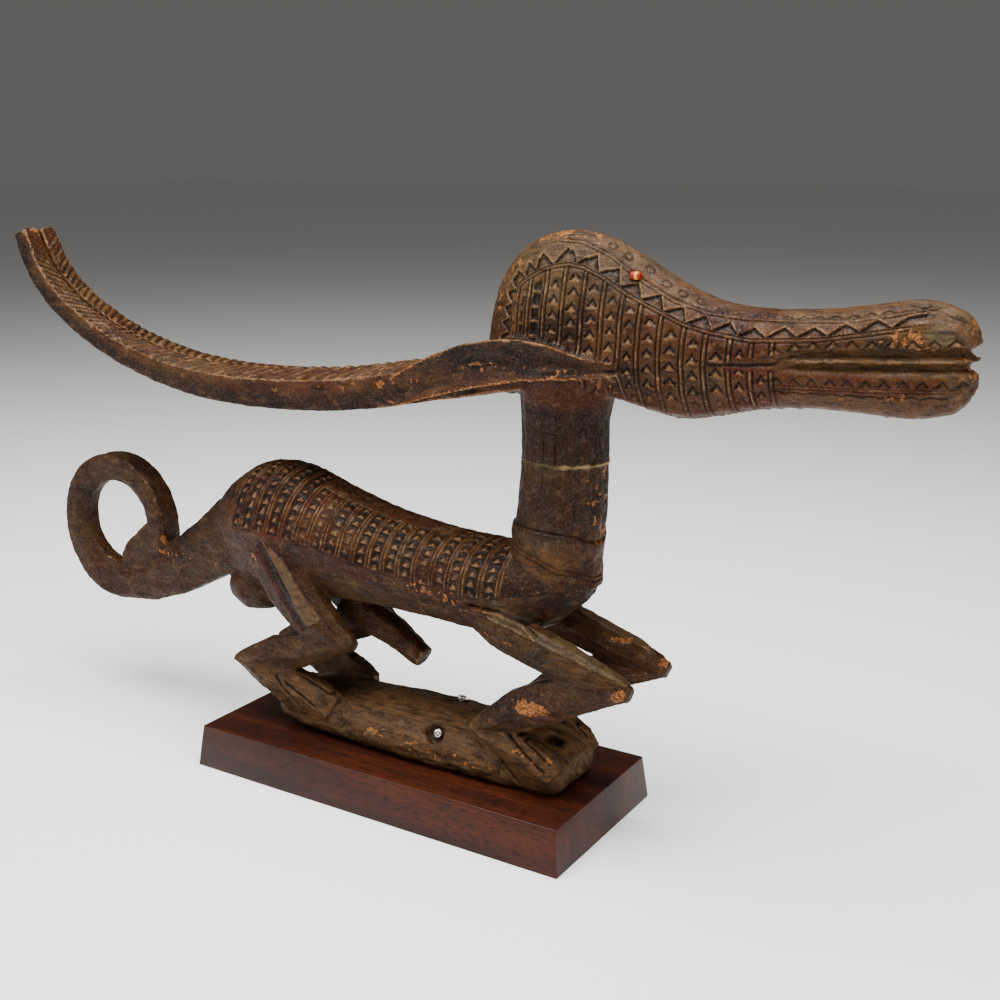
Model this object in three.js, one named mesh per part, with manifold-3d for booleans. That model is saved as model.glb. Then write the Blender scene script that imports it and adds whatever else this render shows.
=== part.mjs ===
// A carved chiwara headdress: a crouching antelope on a log base, its long-beaked head and swept-back
// horns carved as a second block and joined across the neck. It is screwed to a battered wooden plinth.
// Millimetres, +Z up, +X towards the snout. The origin is the centre of the plinth's underside.
import * as THREE from "three";
import { mergeVertices } from "three/addons/utils/BufferGeometryUtils.js";
import Module from "manifold-3d";

const wasm = await Module();
wasm.setup();

// Plinth
const PLINTH_LENGTH = 304.8;
const PLINTH_WIDTH = 127;
const PLINTH_HEIGHT = 31.75;
const PLINTH_BATTER = 3.7; // how far the underside stands out past the top, each way
const PLINTH_ARRIS = 0.8; // the narrow bevel along the top edges

// Log base that the animal crouches on
const LOG_LENGTH = 246;
const LOG_WIDTH = 70;
const LOG_HEIGHT = 36;
const LOG_MIDDLE_X = 11;

// Body: rump to chest, and from the plinth's top to the top of the back
const BODY_LENGTH = 340;
const BODY_HEIGHT = 200;
const BODY_WIDTH = 72;
const BACK_BANDS = 18; // carved bands across the back
const BAND_LEAN = 14; // how far a band's top lies ahead of its foot, at the rump
const BAND_RIB_WIDTH = 3.2;
const BAND_RIB_HEIGHT = 0.9;

// Tail, curled up into a ring
const TAIL_RING_BORE = 67;
const TAIL_WIDTH = 22; // from side to side

// Neck, cut by the seam between the two blocks
const NECK_LENGTH = 59;
const NECK_WIDTH = 52;
const NECK_HEIGHT = 102; // from the back up to the jaw
const SEAM_SHARE = 0.595; // height of the seam as a share of the neck
const SEAM_GAP = 0.3;

// Head with its long beak
const HEAD_LENGTH = 312;
const HEAD_HEIGHT = 103;
const HEAD_WIDTH = 55;
const HEAD_BANDS = 13; // carved bands down the cheek
const PANEL_DROP = 19; // from the crest down to the top of the carved bands
const MOUTH_DEPTH = 7.5;
const MOUTH_NOTCH = 7; // how far the mouth's grooves cut back into the snout's tip

// Horns and ears
const HORN_LENGTH = 495;
const HORN_RISE = 100; // from the lowest point of the sweep to the tips
const HORN_PAIR_WIDTH = 58;
const HORN_DEPTH = 21;
const HORN_PARTING = 3; // groove between the two horns
const HORN_ROOF = 6; // how much higher a horn's inner edge is than its outer edge, at the root
const HORN_RIDGE_PITCH = 8.6;
const HORN_RIDGE_HEIGHT = 1.3;
const HORN_RIDGE_SLANT = 11; // how far a ridge's inner end lies ahead of its outer end
const EAR_LENGTH = 178;
const EAR_HEIGHT = 32;
const EAR_STAND_OUT = 6; // how far the ear's rim stands out from the horn's side
const EAR_HOLLOW = 7;
const EAR_RIM = 1.5; // width of the worn lip round the hollow

// Holes, hardware and bead
const TIE_HOLE = 14.5;
const SIDE_HOLE_DEPTH = 8;
const FRONT_HOLE_DEPTH = 14;
const SCREW_HEAD = 7;
const SCREW_HEAD_HEIGHT = 2.8;
const SCREW_SHANK = 4;
const SCREW_LENGTH = 12;
const BEAD_DIAMETER = 6;
const BEAD_LENGTH = 7.5;
const FIT_CLEARANCE = 0.3;

const V = (x, y, z) => new THREE.Vector3(x, y, z);

// Reads a table smoothly at any value of its first column, by a cubic through its rows.
function smooth(rows) {
  const slopes = rows.map((row, i) => {
    const before = rows[Math.max(i - 1, 0)];
    const after = rows[Math.min(i + 1, rows.length - 1)];
    return row.map((_, k) => (after[k] - before[k]) / (after[0] - before[0]));
  });
  return (at) => {
    const above = rows.findIndex((row) => row[0] > at);
    const i = above < 0 ? rows.length - 2 : Math.max(above - 1, 0);
    const span = rows[i + 1][0] - rows[i][0];
    const t = THREE.MathUtils.clamp((at - rows[i][0]) / span, 0, 1);
    return rows[i].map((low, k) => {
      const high = rows[i + 1][k];
      const rise = high - low;
      const start = slopes[i][k] * span;
      const end = slopes[i + 1][k] * span;
      return low + t * (start + t * (3 * rise - 2 * start - end + t * (start + end - 2 * rise)));
    });
  };
}

// A closed solid through rings of points that all have the same count and the same order.
function loft(rings) {
  const count = rings[0].length;
  const points = rings.flat();
  const faces = [];
  for (let r = 0; r + 1 < rings.length; r++) {
    for (let i = 0; i < count; i++) {
      const j = (i + 1) % count;
      const [a, b] = [r * count + i, r * count + j];
      faces.push([a, b, b + count], [a, b + count, a + count]);
    }
  }
  const last = points.length - count;
  for (const [a, b, c] of capStrip(count)) faces.push([b, a, c], [last + a, last + b, last + c]);
  return faceOutwards(points, faces);
}

// Triangles across a ring of points, in a strip that takes the next point from one side and then the other.
function capStrip(count) {
  const strip = [];
  for (let low = 0, high = count - 1; low + 1 < high; ) {
    if (strip.length % 2) {
      strip.push([low, high - 1, high]);
      high--;
    } else {
      strip.push([low, low + 1, high]);
      low++;
    }
  }
  return strip;
}

// Turns the faces round if they enclose a negative volume.
function faceOutwards(points, faces) {
  const cross = V(0, 0, 0);
  const sixth = ([a, b, c]) => points[a].dot(cross.crossVectors(points[b], points[c]));
  const volume = faces.reduce((sum, face) => sum + sixth(face), 0);
  const turned = volume < 0 ? faces.map(([a, b, c]) => [a, c, b]) : faces;
  return new THREE.BufferGeometry().setFromPoints(points).setIndex(turned.flat());
}

function solid(geometry) {
  geometry.deleteAttribute("normal");
  geometry.deleteAttribute("uv");
  const merged = mergeVertices(geometry, 1e-4);
  return new wasm.Manifold(
    new wasm.Mesh({
      numProp: 3,
      vertProperties: merged.attributes.position.array,
      triVerts: new Uint32Array(merged.index.array),
    }),
  );
}

const join = (solids) => solids.reduce((all, one) => all.add(one));

// A ring that is the same on both sides of the middle plane, from its points on the +Y side, top to bottom.
// The first and last of them lie on the middle plane.
function bothSides(half) {
  const back = half.slice(1, -1).reverse();
  return [...half, ...back.map((p) => V(p.x, -p.y, p.z))];
}

const otherSide = (rings) => rings.map((ring) => ring.map((p) => V(p.x, -p.y, p.z)));

// Half the width of an oval section at a height, from 0 at its top and bottom to full at its widest height.
function halfWidthAt(z, { top, widest, bottom, half, power }) {
  const reach = z > widest ? top - widest : widest - bottom;
  const share = Math.min(Math.abs(z - widest) / reach, 1);
  return half * Math.sqrt(1 - share ** power);
}

// The body's places and sizes are shares, in percent, of its length, width and height above the plinth.
const alongBody = (share) => (BODY_LENGTH * share) / 100;
const acrossBody = (share) => (BODY_WIDTH * share) / 100;
const tallBody = (share) => (BODY_HEIGHT * share) / 100;
const upBody = (share) => PLINTH_HEIGHT + tallBody(share);

// Places of rings along a carved band field: before, on and after each raised rib, with its height.
function ribStations(from, to, bands) {
  const stations = [];
  for (let i = 0; i <= bands; i++) {
    const middle = from + ((to - from) * i) / bands;
    const edge = BAND_RIB_WIDTH / 2;
    stations.push([middle - edge, 0], [middle, BAND_RIB_HEIGHT], [middle + edge, 0]);
  }
  return stations;
}

// Torso: a barrel with a sharp edge low on each flank, from the rump to the chest.
const torsoShape = smooth([
  // along, top, flank edge, half width, belly
  [-52.4, 80, 73, 18, 59],
  [-48.5, 87.6, 73, 28, 53],
  [-43.2, 94.4, 73, 39, 49.6],
  [-36.8, 98.2, 74, 46, 48],
  [-29.4, 98.2, 73.6, 50, 48],
  [-17.6, 91.6, 72, 50, 49],
  [-5.9, 86.4, 69, 50, 50.5],
  [8.8, 83, 67, 50, 50.5],
  [22.5, 82.2, 66, 50, 50],
  [31.5, 81.4, 68, 44, 54],
  [37.6, 79.6, 70.4, 33, 61],
  [41.6, 77, 73, 18, 68],
]);
const BACK_FIELD = [-42.6, 27.6];
const RUMP_END = -52.4;
const BACK_STEPS = 5;

// How far the top of a ring leans forward of its foot: most at the rump, and not at all at the chest.
function leanAt(along) {
  const [rear, front] = BACK_FIELD;
  const fading = THREE.MathUtils.clamp((front - along) / (front - rear), 0, 1) ** 1.5;
  return BAND_LEAN * fading * THREE.MathUtils.smoothstep(along, RUMP_END, rear);
}

function torsoRing(x, rib) {
  const lean = leanAt((100 * x) / BODY_LENGTH);
  const points = [];
  for (let i = 0; i <= BACK_STEPS; i++) {
    const turn = (i / BACK_STEPS) * (Math.PI / 2);
    const rise = i < BACK_STEPS ? Math.cos(turn) ** 0.9 : 0;
    const lift = i < BACK_STEPS ? rib : 0;
    const at = x + lean * (rise - 0.5);
    const [, top, edge, half] = torsoShape((100 * at) / BODY_LENGTH);
    const y = (acrossBody(half) + lift) * Math.sin(turn) ** 0.9;
    points.push(V(at, y, upBody(edge) + (tallBody(top - edge) + lift) * rise));
  }
  const foot = x - lean / 2;
  const [, , edge, half, belly] = torsoShape((100 * foot) / BODY_LENGTH);
  points.push(V(foot, acrossBody(half) * 0.62, upBody(THREE.MathUtils.lerp(belly, edge, 0.2))));
  points.push(V(foot, 0, upBody(belly)));
  return bothSides(points);
}

function torso() {
  const [from, to] = BACK_FIELD.map(alongBody);
  const plain = (shares) => shares.map((share) => [alongBody(share), 0]);
  const rump = plain([RUMP_END, -48.5]);
  const chest = plain([30.4, 33, 35.5, 38, 40.2, 41.6]);
  const stations = [...rump, ...ribStations(from, to, BACK_BANDS), ...chest];
  return solid(loft(stations.map(([x, rib]) => torsoRing(x, rib))));
}

// A limb: a tapering bar with a ridge down its outer and its inner face. Each station is its place along,
// across and up the body, then half its depth, as a share of the height, and half its thickness.
function limbRings(stations) {
  const middles = stations.map(([along, across, up]) => V(alongBody(along), acrossBody(across), upBody(up)));
  return stations.map(([, , , depth, thickness], i) => {
    const next = middles[Math.min(i + 1, middles.length - 1)];
    const way = next.clone().sub(middles[Math.max(i - 1, 0)]).normalize();
    const over = V(-way.z, 0, way.x).normalize().multiplyScalar(tallBody(depth));
    const side = V(0, acrossBody(thickness), 0);
    const place = (up, out) => middles[i].clone().addScaledVector(over, up).addScaledVector(side, out);
    return [place(1, -0.4), place(1, 0.4), place(0.1, 1), place(-1, 0.4), place(-1, -0.4), place(0.1, -1)];
  });
}

// Both limbs of a pair. The far one was carved a little apart, by a shift along, across and up.
function limbPair(stations, shift) {
  const rings = limbRings(stations);
  const far = loft(otherSide(rings)).translate(...shift);
  return [solid(loft(rings)), solid(far)];
}

const THIGH = [
  [-33.6, -33, 77, 15.5, 15.5],
  [-26.6, -37.5, 55.4, 11.4, 17],
  [-22, -39, 47.6, 9.8, 17],
  [-15.8, -39.6, 41, 7.4, 15],
  [-9.7, -40, 37.6, 2, 8],
];
const SHANK = [
  [-11.2, -39.6, 38.6, 2.5, 11],
  [-17.6, -39, 35.2, 5.2, 15],
  [-24, -39, 31.8, 6.4, 16],
  [-32.4, -39, 28, 6, 15],
  [-38.8, -39, 24.6, 3.8, 12.5],
  [-43.6, -39, 22, 1.4, 7],
];
const HIND_FOOT = [
  [-42, -39, 22, 2, 10],
  [-35.2, -39, 19.2, 5.6, 14],
  [-28.2, -37.5, 16, 8.2, 15],
  [-21, -36, 11.6, 9.4, 15],
  [-16.6, -35, 8, 8, 15],
];
const UPPER_ARM = [
  [17.5, -36, 62, 4, 12.5],
  [26.2, -39, 57, 6.8, 16],
  [36.8, -40, 51.8, 6.6, 16.5],
  [45.6, -40, 47.6, 5.6, 15],
  [52.4, -40, 44.6, 4, 11],
  [55, -40, 43.6, 2.6, 8],
];
const FOREARM = [
  [54, -40, 43.8, 2.4, 10],
  [45.6, -40, 40.4, 5.4, 15],
  [37, -40, 34.8, 7.4, 16.5],
  [30.3, -40, 29, 7, 16],
  [24.4, -40, 23, 4.6, 14],
  [19.7, -40, 19, 2, 10],
];
const FORE_FOOT = [
  [20, -39, 19, 2, 10],
  [25, -39, 17, 5, 14],
  [30.9, -39, 14, 7, 15],
  [35.9, -37.5, 9.6, 7, 15],
  [38.2, -36, 6.6, 5.5, 14],
];

const FAR_HIND_LEG = [-5, 0, 0];
const FAR_FORELEG = [0, -2, -2];

function legs() {
  const hind = [THIGH, SHANK, HIND_FOOT].flatMap((limb) => limbPair(limb, FAR_HIND_LEG));
  const fore = [UPPER_ARM, FOREARM, FORE_FOOT].flatMap((limb) => limbPair(limb, FAR_FORELEG));
  return join([...hind, ...fore]);
}

// Tail: a flat-sided bar, narrower towards the bore, that drops from the rump and winds up into a ring.
const TAIL_ROOT = [
  // along, up, half depth as a share of the height
  [-41, 74.6, 14.5],
  [-49, 67.4, 13.8],
  [-56.5, 58.8, 12],
  [-66.8, 48.4, 10.7],
  [-76, 41.4, 9.2],
];
const RING_MIDDLE = [-87.3, 62.2];
const RING_TURN = { from: 270, to: -22, steps: 16 };
const RING_HALF_DEPTH = { bottom: 7.8, end: 5.6 };
const RING_SWELL = { toward: 30, share: 0.05 }; // the ring bulges a little up and towards the body
const TAIL_SECTION = [
  // out from the bore and across, as shares of the half depth and the half width
  [1, 0.8],
  [0.8, 1],
  [-0.3, 1],
  [-1, 0.5],
];
// Outline of the block on which the ring's end rests, along and up
const RING_REST = [
  [-77, 64],
  [-72, 64],
  [-70.6, 49],
  [-85.2, 46],
  [-85.2, 49.6],
  [-83.4, 54.6],
];

function tailPath() {
  const path = TAIL_ROOT.map(([along, up, depth]) => ({
    at: V(alongBody(along), 0, upBody(up)),
    depth: tallBody(depth),
  }));
  const middle = V(alongBody(RING_MIDDLE[0]), 0, upBody(RING_MIDDLE[1]));
  for (let i = 0; i <= RING_TURN.steps; i++) {
    const share = i / RING_TURN.steps;
    const turn = THREE.MathUtils.degToRad(THREE.MathUtils.lerp(RING_TURN.from, RING_TURN.to, share));
    const thinning = THREE.MathUtils.smoothstep(share, 0.02, 0.36);
    const depth = tallBody(THREE.MathUtils.lerp(RING_HALF_DEPTH.bottom, RING_HALF_DEPTH.end, thinning));
    const aside = turn - THREE.MathUtils.degToRad(RING_SWELL.toward);
    const swell = RING_SWELL.share * Math.max(0, Math.cos(aside));
    const radius = (TAIL_RING_BORE / 2 + depth) * (1 + swell);
    path.push({ at: V(radius * Math.cos(turn), 0, radius * Math.sin(turn)).add(middle), depth });
  }
  return path;
}

function tail() {
  const path = tailPath();
  const rings = path.map(({ at, depth }, i) => {
    const next = path[Math.min(i + 1, path.length - 1)].at;
    const way = next.clone().sub(path[Math.max(i - 1, 0)].at).normalize();
    const over = V(-way.z, 0, way.x);
    const widening = 1 + 0.5 * Math.max(0, 1 - i / TAIL_ROOT.length);
    const side = (TAIL_WIDTH / 2) * widening;
    const place = ([out, across]) => at.clone().addScaledVector(over, depth * out).setY(side * across);
    const half = TAIL_SECTION.map(place);
    return [...half, ...half.map((p) => V(p.x, -p.y, p.z)).reverse()];
  });
  const rest = [-0.8, 0.8].map((across) => {
    return RING_REST.map(([along, up]) => V(alongBody(along), (TAIL_WIDTH / 2) * across, upBody(up)));
  });
  return join([solid(loft(rings)), solid(loft(rest))]);
}

// A tapering round form through middles and radii, both as shares of the body.
function roundForm(stations, sides) {
  const middles = stations.map(([along, up]) => V(alongBody(along), 0, upBody(up)));
  const rings = stations.map(([, , radius], i) => {
    const next = middles[Math.min(i + 1, middles.length - 1)];
    const way = next.clone().sub(middles[Math.max(i - 1, 0)]).normalize();
    const over = V(-way.z, 0, way.x);
    return Array.from({ length: sides }, (_, k) => {
      const turn = (2 * Math.PI * k) / sides;
      const reach = tallBody(radius);
      return middles[i].clone().addScaledVector(over, reach * Math.cos(turn)).setY(reach * Math.sin(turn));
    });
  });
  return solid(loft(rings));
}

const SHEATH = [
  [-18, 48, 7.2],
  [-5.3, 40.7, 5.7],
  [2.4, 33, 4.3],
];
const SCROTUM = [
  [-50.6, 47, 2],
  [-49, 47, 7],
  [-44.6, 47.4, 10.3],
  [-40, 48.2, 9.3],
  [-36, 50, 5],
];

// Log: a half-round trunk, a little raised at its rear end.
const logShape = smooth([
  // along, half width, top, underside: shares of the log's own sizes
  [-0.5, 0.63, 0.56, 0.19],
  [-0.467, 0.83, 0.7, 0.12],
  [-0.37, 0.94, 0.82, 0.08],
  [-0.167, 1, 0.96, 0.02],
  [0.037, 1.03, 1, 0],
  [0.24, 1, 0.98, 0],
  [0.382, 0.94, 0.91, 0],
  [0.467, 0.87, 0.76, 0.01],
  [0.5, 0.71, 0.57, 0.1],
]);
const LOG_STATIONS = [-0.5, -0.467, -0.37, -0.27, -0.167, -0.06, 0.06, 0.17, 0.28, 0.382, 0.44, 0.475, 0.5];

function logSection(share) {
  const [, half, top, under] = logShape(share);
  const bottom = PLINTH_HEIGHT + LOG_HEIGHT * Math.max(under, 0);
  const crown = PLINTH_HEIGHT + LOG_HEIGHT * top;
  const widest = THREE.MathUtils.lerp(bottom, crown, 0.3);
  return { top: crown, bottom, widest, half: (LOG_WIDTH / 2) * half, power: 2.4 };
}

function log() {
  const rings = LOG_STATIONS.map((share) => {
    const section = logSection(share);
    const x = LOG_MIDDLE_X + LOG_LENGTH * share;
    const { top, widest, bottom, half } = section;
    const upper = [1, 0.97, 0.86, 0.66, 0.36].map((rise) => widest + (top - widest) * rise);
    const points = upper.map((z, i) => V(x, i ? halfWidthAt(z, section) : 0, z));
    points.push(V(x, half, widest), V(x, half * 0.97, (widest + bottom) / 2));
    points.push(V(x, half * 0.84, bottom), V(x, 0, bottom));
    return bothSides(points);
  });
  return solid(loft(rings));
}

// Neck: an oval post from the back up into the head, with a worn collar near its foot.
const NECK_X = 36.2; // along the body
const NECK_FOOT = 83; // up the body
const NECK_SIDES = 16;
const neckShape = smooth([
  // share of the neck's height, size, lean along +X as a share of its length
  [-0.22, 1.08, -0.12],
  [0, 1.07, -0.12],
  [0.14, 1.06, -0.095],
  [0.2, 1.05, -0.08],
  [0.3, 1.03, -0.055],
  [0.38, 1.02, -0.045],
  [0.54, 1, -0.035],
  [0.7, 0.99, -0.03],
  [0.86, 0.99, -0.03],
  [0.93, 1.04, -0.02],
  [1.2, 1.15, 0],
]);
const neckFoot = upBody(NECK_FOOT);
const neckTop = neckFoot + NECK_HEIGHT;

function neckRing(share) {
  const [, size, lean] = neckShape(share);
  const middle = V(alongBody(NECK_X) + NECK_LENGTH * lean, 0, neckFoot + NECK_HEIGHT * share);
  return Array.from({ length: NECK_SIDES }, (_, k) => {
    const turn = (2 * Math.PI * (k + 0.5)) / NECK_SIDES;
    const reach = V((NECK_LENGTH / 2) * Math.cos(turn), (NECK_WIDTH / 2) * Math.sin(turn), 0);
    return middle.clone().addScaledVector(reach, size);
  });
}

const COLLAR = { at: 0.165, step: 0.015, proud: 1.02 };

function lowerNeck() {
  const grown = (ring, size) => {
    const middle = ring.reduce((sum, p) => sum.add(p), V(0, 0, 0)).divideScalar(ring.length);
    return ring.map((p) => V(middle.x + (p.x - middle.x) * size, (p.y - middle.y) * size, p.z));
  };
  const rings = [-0.22, 0, 0.08].map(neckRing);
  rings.push(grown(neckRing(COLLAR.at - COLLAR.step), COLLAR.proud), neckRing(COLLAR.at));
  rings.push(...[0.25, 0.38].map(neckRing), neckRing(SEAM_SHARE - SEAM_GAP / NECK_HEIGHT));
  return solid(loft(rings));
}

const upperNeck = () => solid(loft([SEAM_SHARE, 0.72, 0.86, 0.95, 1.06, 1.2].map(neckRing)));

// The head's places are shares, in percent, of its own length from the neck, and of its height from the jaw.
const headX = alongBody(NECK_X);
const alongHead = (share) => headX + (HEAD_LENGTH * share) / 100;
const upHead = (share) => neckTop + (HEAD_HEIGHT * share) / 100;

const headShape = smooth([
  // along, crest, widest height, half width, jaw
  [-17, 47.6, 21.4, 22, -1.9],
  [-16, 62, 21.4, 30, -2.9],
  [-14.1, 77.4, 23.3, 37, -2.9],
  [-10.3, 90, 25.2, 43.6, -1.9],
  [-4.8, 99, 29, 47.3, 1],
  [2.6, 101.8, 31, 49, 2.4],
  [9.3, 98, 31, 50, 1.6],
  [15.7, 89.2, 31, 50, -2],
  [22, 78.4, 30, 49, -6.3],
  [28.5, 69, 31, 46.4, -6.8],
  [34.9, 63.4, 32, 41.8, -1.8],
  [41.3, 61.8, 34, 38.2, 3],
  [51, 63, 36.9, 35.5, 6.3],
  [60.6, 66.8, 39.8, 34.5, 6.4],
  [68.6, 71.4, 41.7, 33.6, 5.6],
  [73.7, 70.2, 41.7, 30.9, 8],
  [77, 65.6, 41.7, 25.5, 12.6],
  [79, 59.2, 41.7, 18.2, 19.6],
  [79.8, 53.4, 41.7, 12, 26],
]);
const mouthShape = smooth([
  // along, upper lip, lower lip, share of the mouth's full depth
  [-17.2, 24.5, 18.5, 0],
  [10, 33.5, 27.5, 0],
  [37.8, 32.5, 28, 0],
  [45.5, 37.9, 28.2, 0.45],
  [50, 41.7, 28.2, 0.85],
  [60.3, 44.7, 29.6, 1],
  [69.9, 46.6, 31.6, 1],
  [79.8, 49, 33.4, 1],
]);
const HEAD_FIELD = [-9.8, 44.8];
const SNOUT_TIP = 79.8;
const NOTCH_FROM = 74; // where the notches in the snout's tip begin

function headSection(at) {
  const [, crest, wide, half, jaw] = headShape(at);
  return {
    top: upHead(crest),
    widest: upHead(wide),
    bottom: upHead(jaw),
    half: (HEAD_WIDTH * half) / 100,
    power: 1.9,
  };
}

function headRing(x, rib) {
  const at = (100 * (x - headX)) / HEAD_LENGTH;
  const section = headSection(at);
  const [, upper, lower, share] = mouthShape(at);
  const lip = { upper: upHead(upper), lower: upHead(lower) };
  const middle = (lip.upper + lip.lower) / 2;
  const panel = Math.max(section.top - PANEL_DROP, (section.top + lip.upper) / 2);
  const depth = Math.min(MOUTH_DEPTH * share, section.half * 0.7);
  const notch = MOUTH_NOTCH * THREE.MathUtils.clamp((at - NOTCH_FROM) / (SNOUT_TIP - NOTCH_FROM), 0, 1) ** 2;
  const surface = (z, lift) => V(x, halfWidthAt(z, section) + lift, z);
  const groove = (z) => V(x - notch, halfWidthAt(z, section) + rib - depth, z);
  const between = THREE.MathUtils.lerp;
  return bothSides([
    V(x, 0, section.top),
    surface(between(section.top, panel, 0.3), 0),
    surface(panel, 0),
    surface(between(panel, lip.upper, 0.5), rib),
    surface(lip.upper, rib),
    groove(between(lip.upper, middle, 0.5)),
    surface(middle, rib - depth * 0.25),
    groove(between(middle, lip.lower, 0.5)),
    surface(lip.lower, rib),
    surface(between(lip.lower, section.bottom, 0.45), rib),
    surface(between(lip.lower, section.bottom, 0.85), rib),
    V(x, 0, section.bottom),
  ]);
}

function head() {
  const [from, to] = HEAD_FIELD.map(alongHead);
  const plain = (shares) => shares.map((share) => [alongHead(share), 0]);
  const stations = [
    ...plain([-17, -16, -14.4, -11.5]),
    ...ribStations(from, to, HEAD_BANDS),
    ...plain([50, 55, 60.6, 65, 68.6, 71.5, 74.2, 76.4, 78.2, 79.2, SNOUT_TIP]),
  ];
  return solid(loft(stations.map(([x, rib]) => headRing(x, rib))));
}

// Horns: a pair of flat-topped bars that sweep back from the head and turn up at their tips.
const HORN_SWEEP = [
  // along from the head end, and up from the lowest point, as shares of the horn's length and rise
  [-1.004, 1.062],
  [-0.981, 0.8],
  [-0.932, 0.543],
  [-0.834, 0.273],
  [-0.725, 0.102],
  [-0.614, 0.017],
  [-0.531, 0],
  [-0.434, 0.01],
  [-0.341, 0.05],
  [-0.249, 0.125],
  [-0.127, 0.25],
  [0, 0.37],
];
const HORN_LOW = -16.2; // lowest point of the sweep, up the head
const hornTaper = smooth([
  // share of the way from the tip, depth, half width of the pair, roof
  [0, 0.71, 0.52, 0],
  [0.112, 0.72, 0.61, 0.15],
  [0.215, 0.77, 0.68, 0.25],
  [0.321, 0.84, 0.77, 0.4],
  [0.425, 0.91, 0.89, 0.6],
  [0.502, 0.96, 0.98, 0.8],
  [0.68, 1.03, 1, 1],
  [0.77, 1.05, 1, 1],
  [1, 1.1, 0.9, 1],
]);
const RIDGED_SHARE = [0.015, 0.765];

const hornPath = new THREE.CatmullRomCurve3(
  HORN_SWEEP.map(([along, up]) => V(headX + HORN_LENGTH * along, 0, upHead(HORN_LOW) + HORN_RISE * up)),
);

// A point off the horns' middle line: share of the way from the tip, height square to the line, and y.
function hornPoint(share, height, y) {
  const at = THREE.MathUtils.clamp(share, 0, 1);
  const tangent = hornPath.getTangentAt(at);
  return hornPath.getPointAt(at).addScaledVector(V(-tangent.z, 0, tangent.x), height).setY(y);
}

function hornRings() {
  const length = hornPath.getLength();
  const ring = (share, ridge) => {
    const [, depth, width, roof] = hornTaper(share);
    const slant = Math.min(HORN_RIDGE_SLANT / length, share, 1 - share);
    const half = (HORN_DEPTH * depth) / 2;
    const outer = (-HORN_PAIR_WIDTH / 2) * width;
    return [
      hornPoint(share, half + ridge, outer),
      hornPoint(share + slant, half + HORN_ROOF * roof + ridge, -HORN_PARTING / 2),
      hornPoint(share + slant, -half, -HORN_PARTING / 2),
      hornPoint(share, -half, outer),
    ];
  };
  const ridges = Math.round((length * (RIDGED_SHARE[1] - RIDGED_SHARE[0])) / HORN_RIDGE_PITCH);
  const rings = [ring(0, 0)];
  for (let i = 0; i <= 2 * ridges; i++) {
    const share = THREE.MathUtils.lerp(...RIDGED_SHARE, i / (2 * ridges));
    rings.push(ring(share, i % 2 ? HORN_RIDGE_HEIGHT : 0));
  }
  return [...rings, ring(0.84, 0), ring(0.92, 0), ring(1, 0)];
}

// A web keeps the two horns in one piece below the groove between them.
function hornWeb() {
  const rings = [0.02, 0.06, 0.11, 0.16, 0.22, 0.3, 0.4, 0.55, 0.7, 0.85, 1].map((share) => {
    const half = (HORN_DEPTH * hornTaper(share)[1]) / 2;
    const corners = [
      [0.3, -HORN_PARTING],
      [0.3, HORN_PARTING],
      [-0.7, HORN_PARTING],
      [-0.7, -HORN_PARTING],
    ];
    return corners.map(([height, y]) => hornPoint(share, half * height, y));
  });
  return solid(loft(rings));
}

// Ears: long leaves hollowed on their outer face, lying along the horns' sides.
const earShape = smooth([
  // share of the length from the tip, height of the middle, half height, share of the stand-out
  [0, -0.125, 0.05, 0.1],
  [0.084, -0.09, 0.33, 0.6],
  [0.21, 0.21, 0.42, 1],
  [0.41, 0.57, 0.48, 1],
  [0.58, 0.75, 0.44, 1],
  [0.69, 0.79, 0.39, 0.9],
  [0.79, 0.75, 0.3, 0.7],
  [0.865, 0.7, 0.22, 0.5],
  [0.93, 0.725, 0.16, 0.4],
  [1, 0.75, 0.125, 0.3],
]);
const EAR_TIP = -41.3; // along the head
const EAR_STATIONS = [0, 0.04, 0.09, 0.16, 0.26, 0.38, 0.5, 0.62, 0.73, 0.82, 0.9, 1];

function earRings() {
  return EAR_STATIONS.map((share) => {
    const [, middle, half, out] = earShape(share);
    const x = alongHead(EAR_TIP) + EAR_LENGTH * share;
    const z = (up) => neckTop + EAR_HEIGHT * (middle + half * up);
    const rim = -HORN_PAIR_WIDTH / 2 - EAR_STAND_OUT * out;
    const floor = rim + EAR_HOLLOW * Math.min(out, half / 0.3);
    const back = -HORN_PAIR_WIDTH / 2 + EAR_STAND_OUT;
    return [
      V(x, rim, z(1)),
      V(x, rim + EAR_RIM, z(0.86)),
      V(x, floor, z(-0.1)),
      V(x, rim + EAR_RIM, z(-0.86)),
      V(x, rim, z(-1)),
      V(x, back, z(-0.8)),
      V(x, back, z(0.9)),
    ];
  });
}

// A round bar or cutter between two points.
function rod(from, to, diameter, sides) {
  const way = to.clone().sub(from);
  const bar = new THREE.CylinderGeometry(diameter / 2, diameter / 2, way.length(), sides);
  const turn = new THREE.Quaternion().setFromUnitVectors(V(0, 1, 0), way.clone().normalize());
  bar.applyQuaternion(turn);
  return bar.translate(...from.clone().add(to).divideScalar(2));
}

// Places on the log: the share along it, the side, the share of its height there, and the way out of it.
const SIDE_HOLE = { along: 0.1, side: -1, rise: 0.72, outward: V(0, -0.93, 0.37).normalize() };
const FRONT_HOLE = { along: 0.428, side: -1, rise: 1, outward: V(0.24, 0, 0.97).normalize() };
const TOP_SCREW = { along: 0.082, side: 1, rise: 0.96, outward: V(0, 0.26, 0.97).normalize() };

function logSpot({ along, side, rise }) {
  const section = logSection(along);
  const z = THREE.MathUtils.lerp(section.bottom, section.top, rise);
  return V(LOG_MIDDLE_X + LOG_LENGTH * along, side * halfWidthAt(z, section), z);
}

const past = (spot, outward, reach) => spot.clone().addScaledVector(outward, reach);

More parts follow.
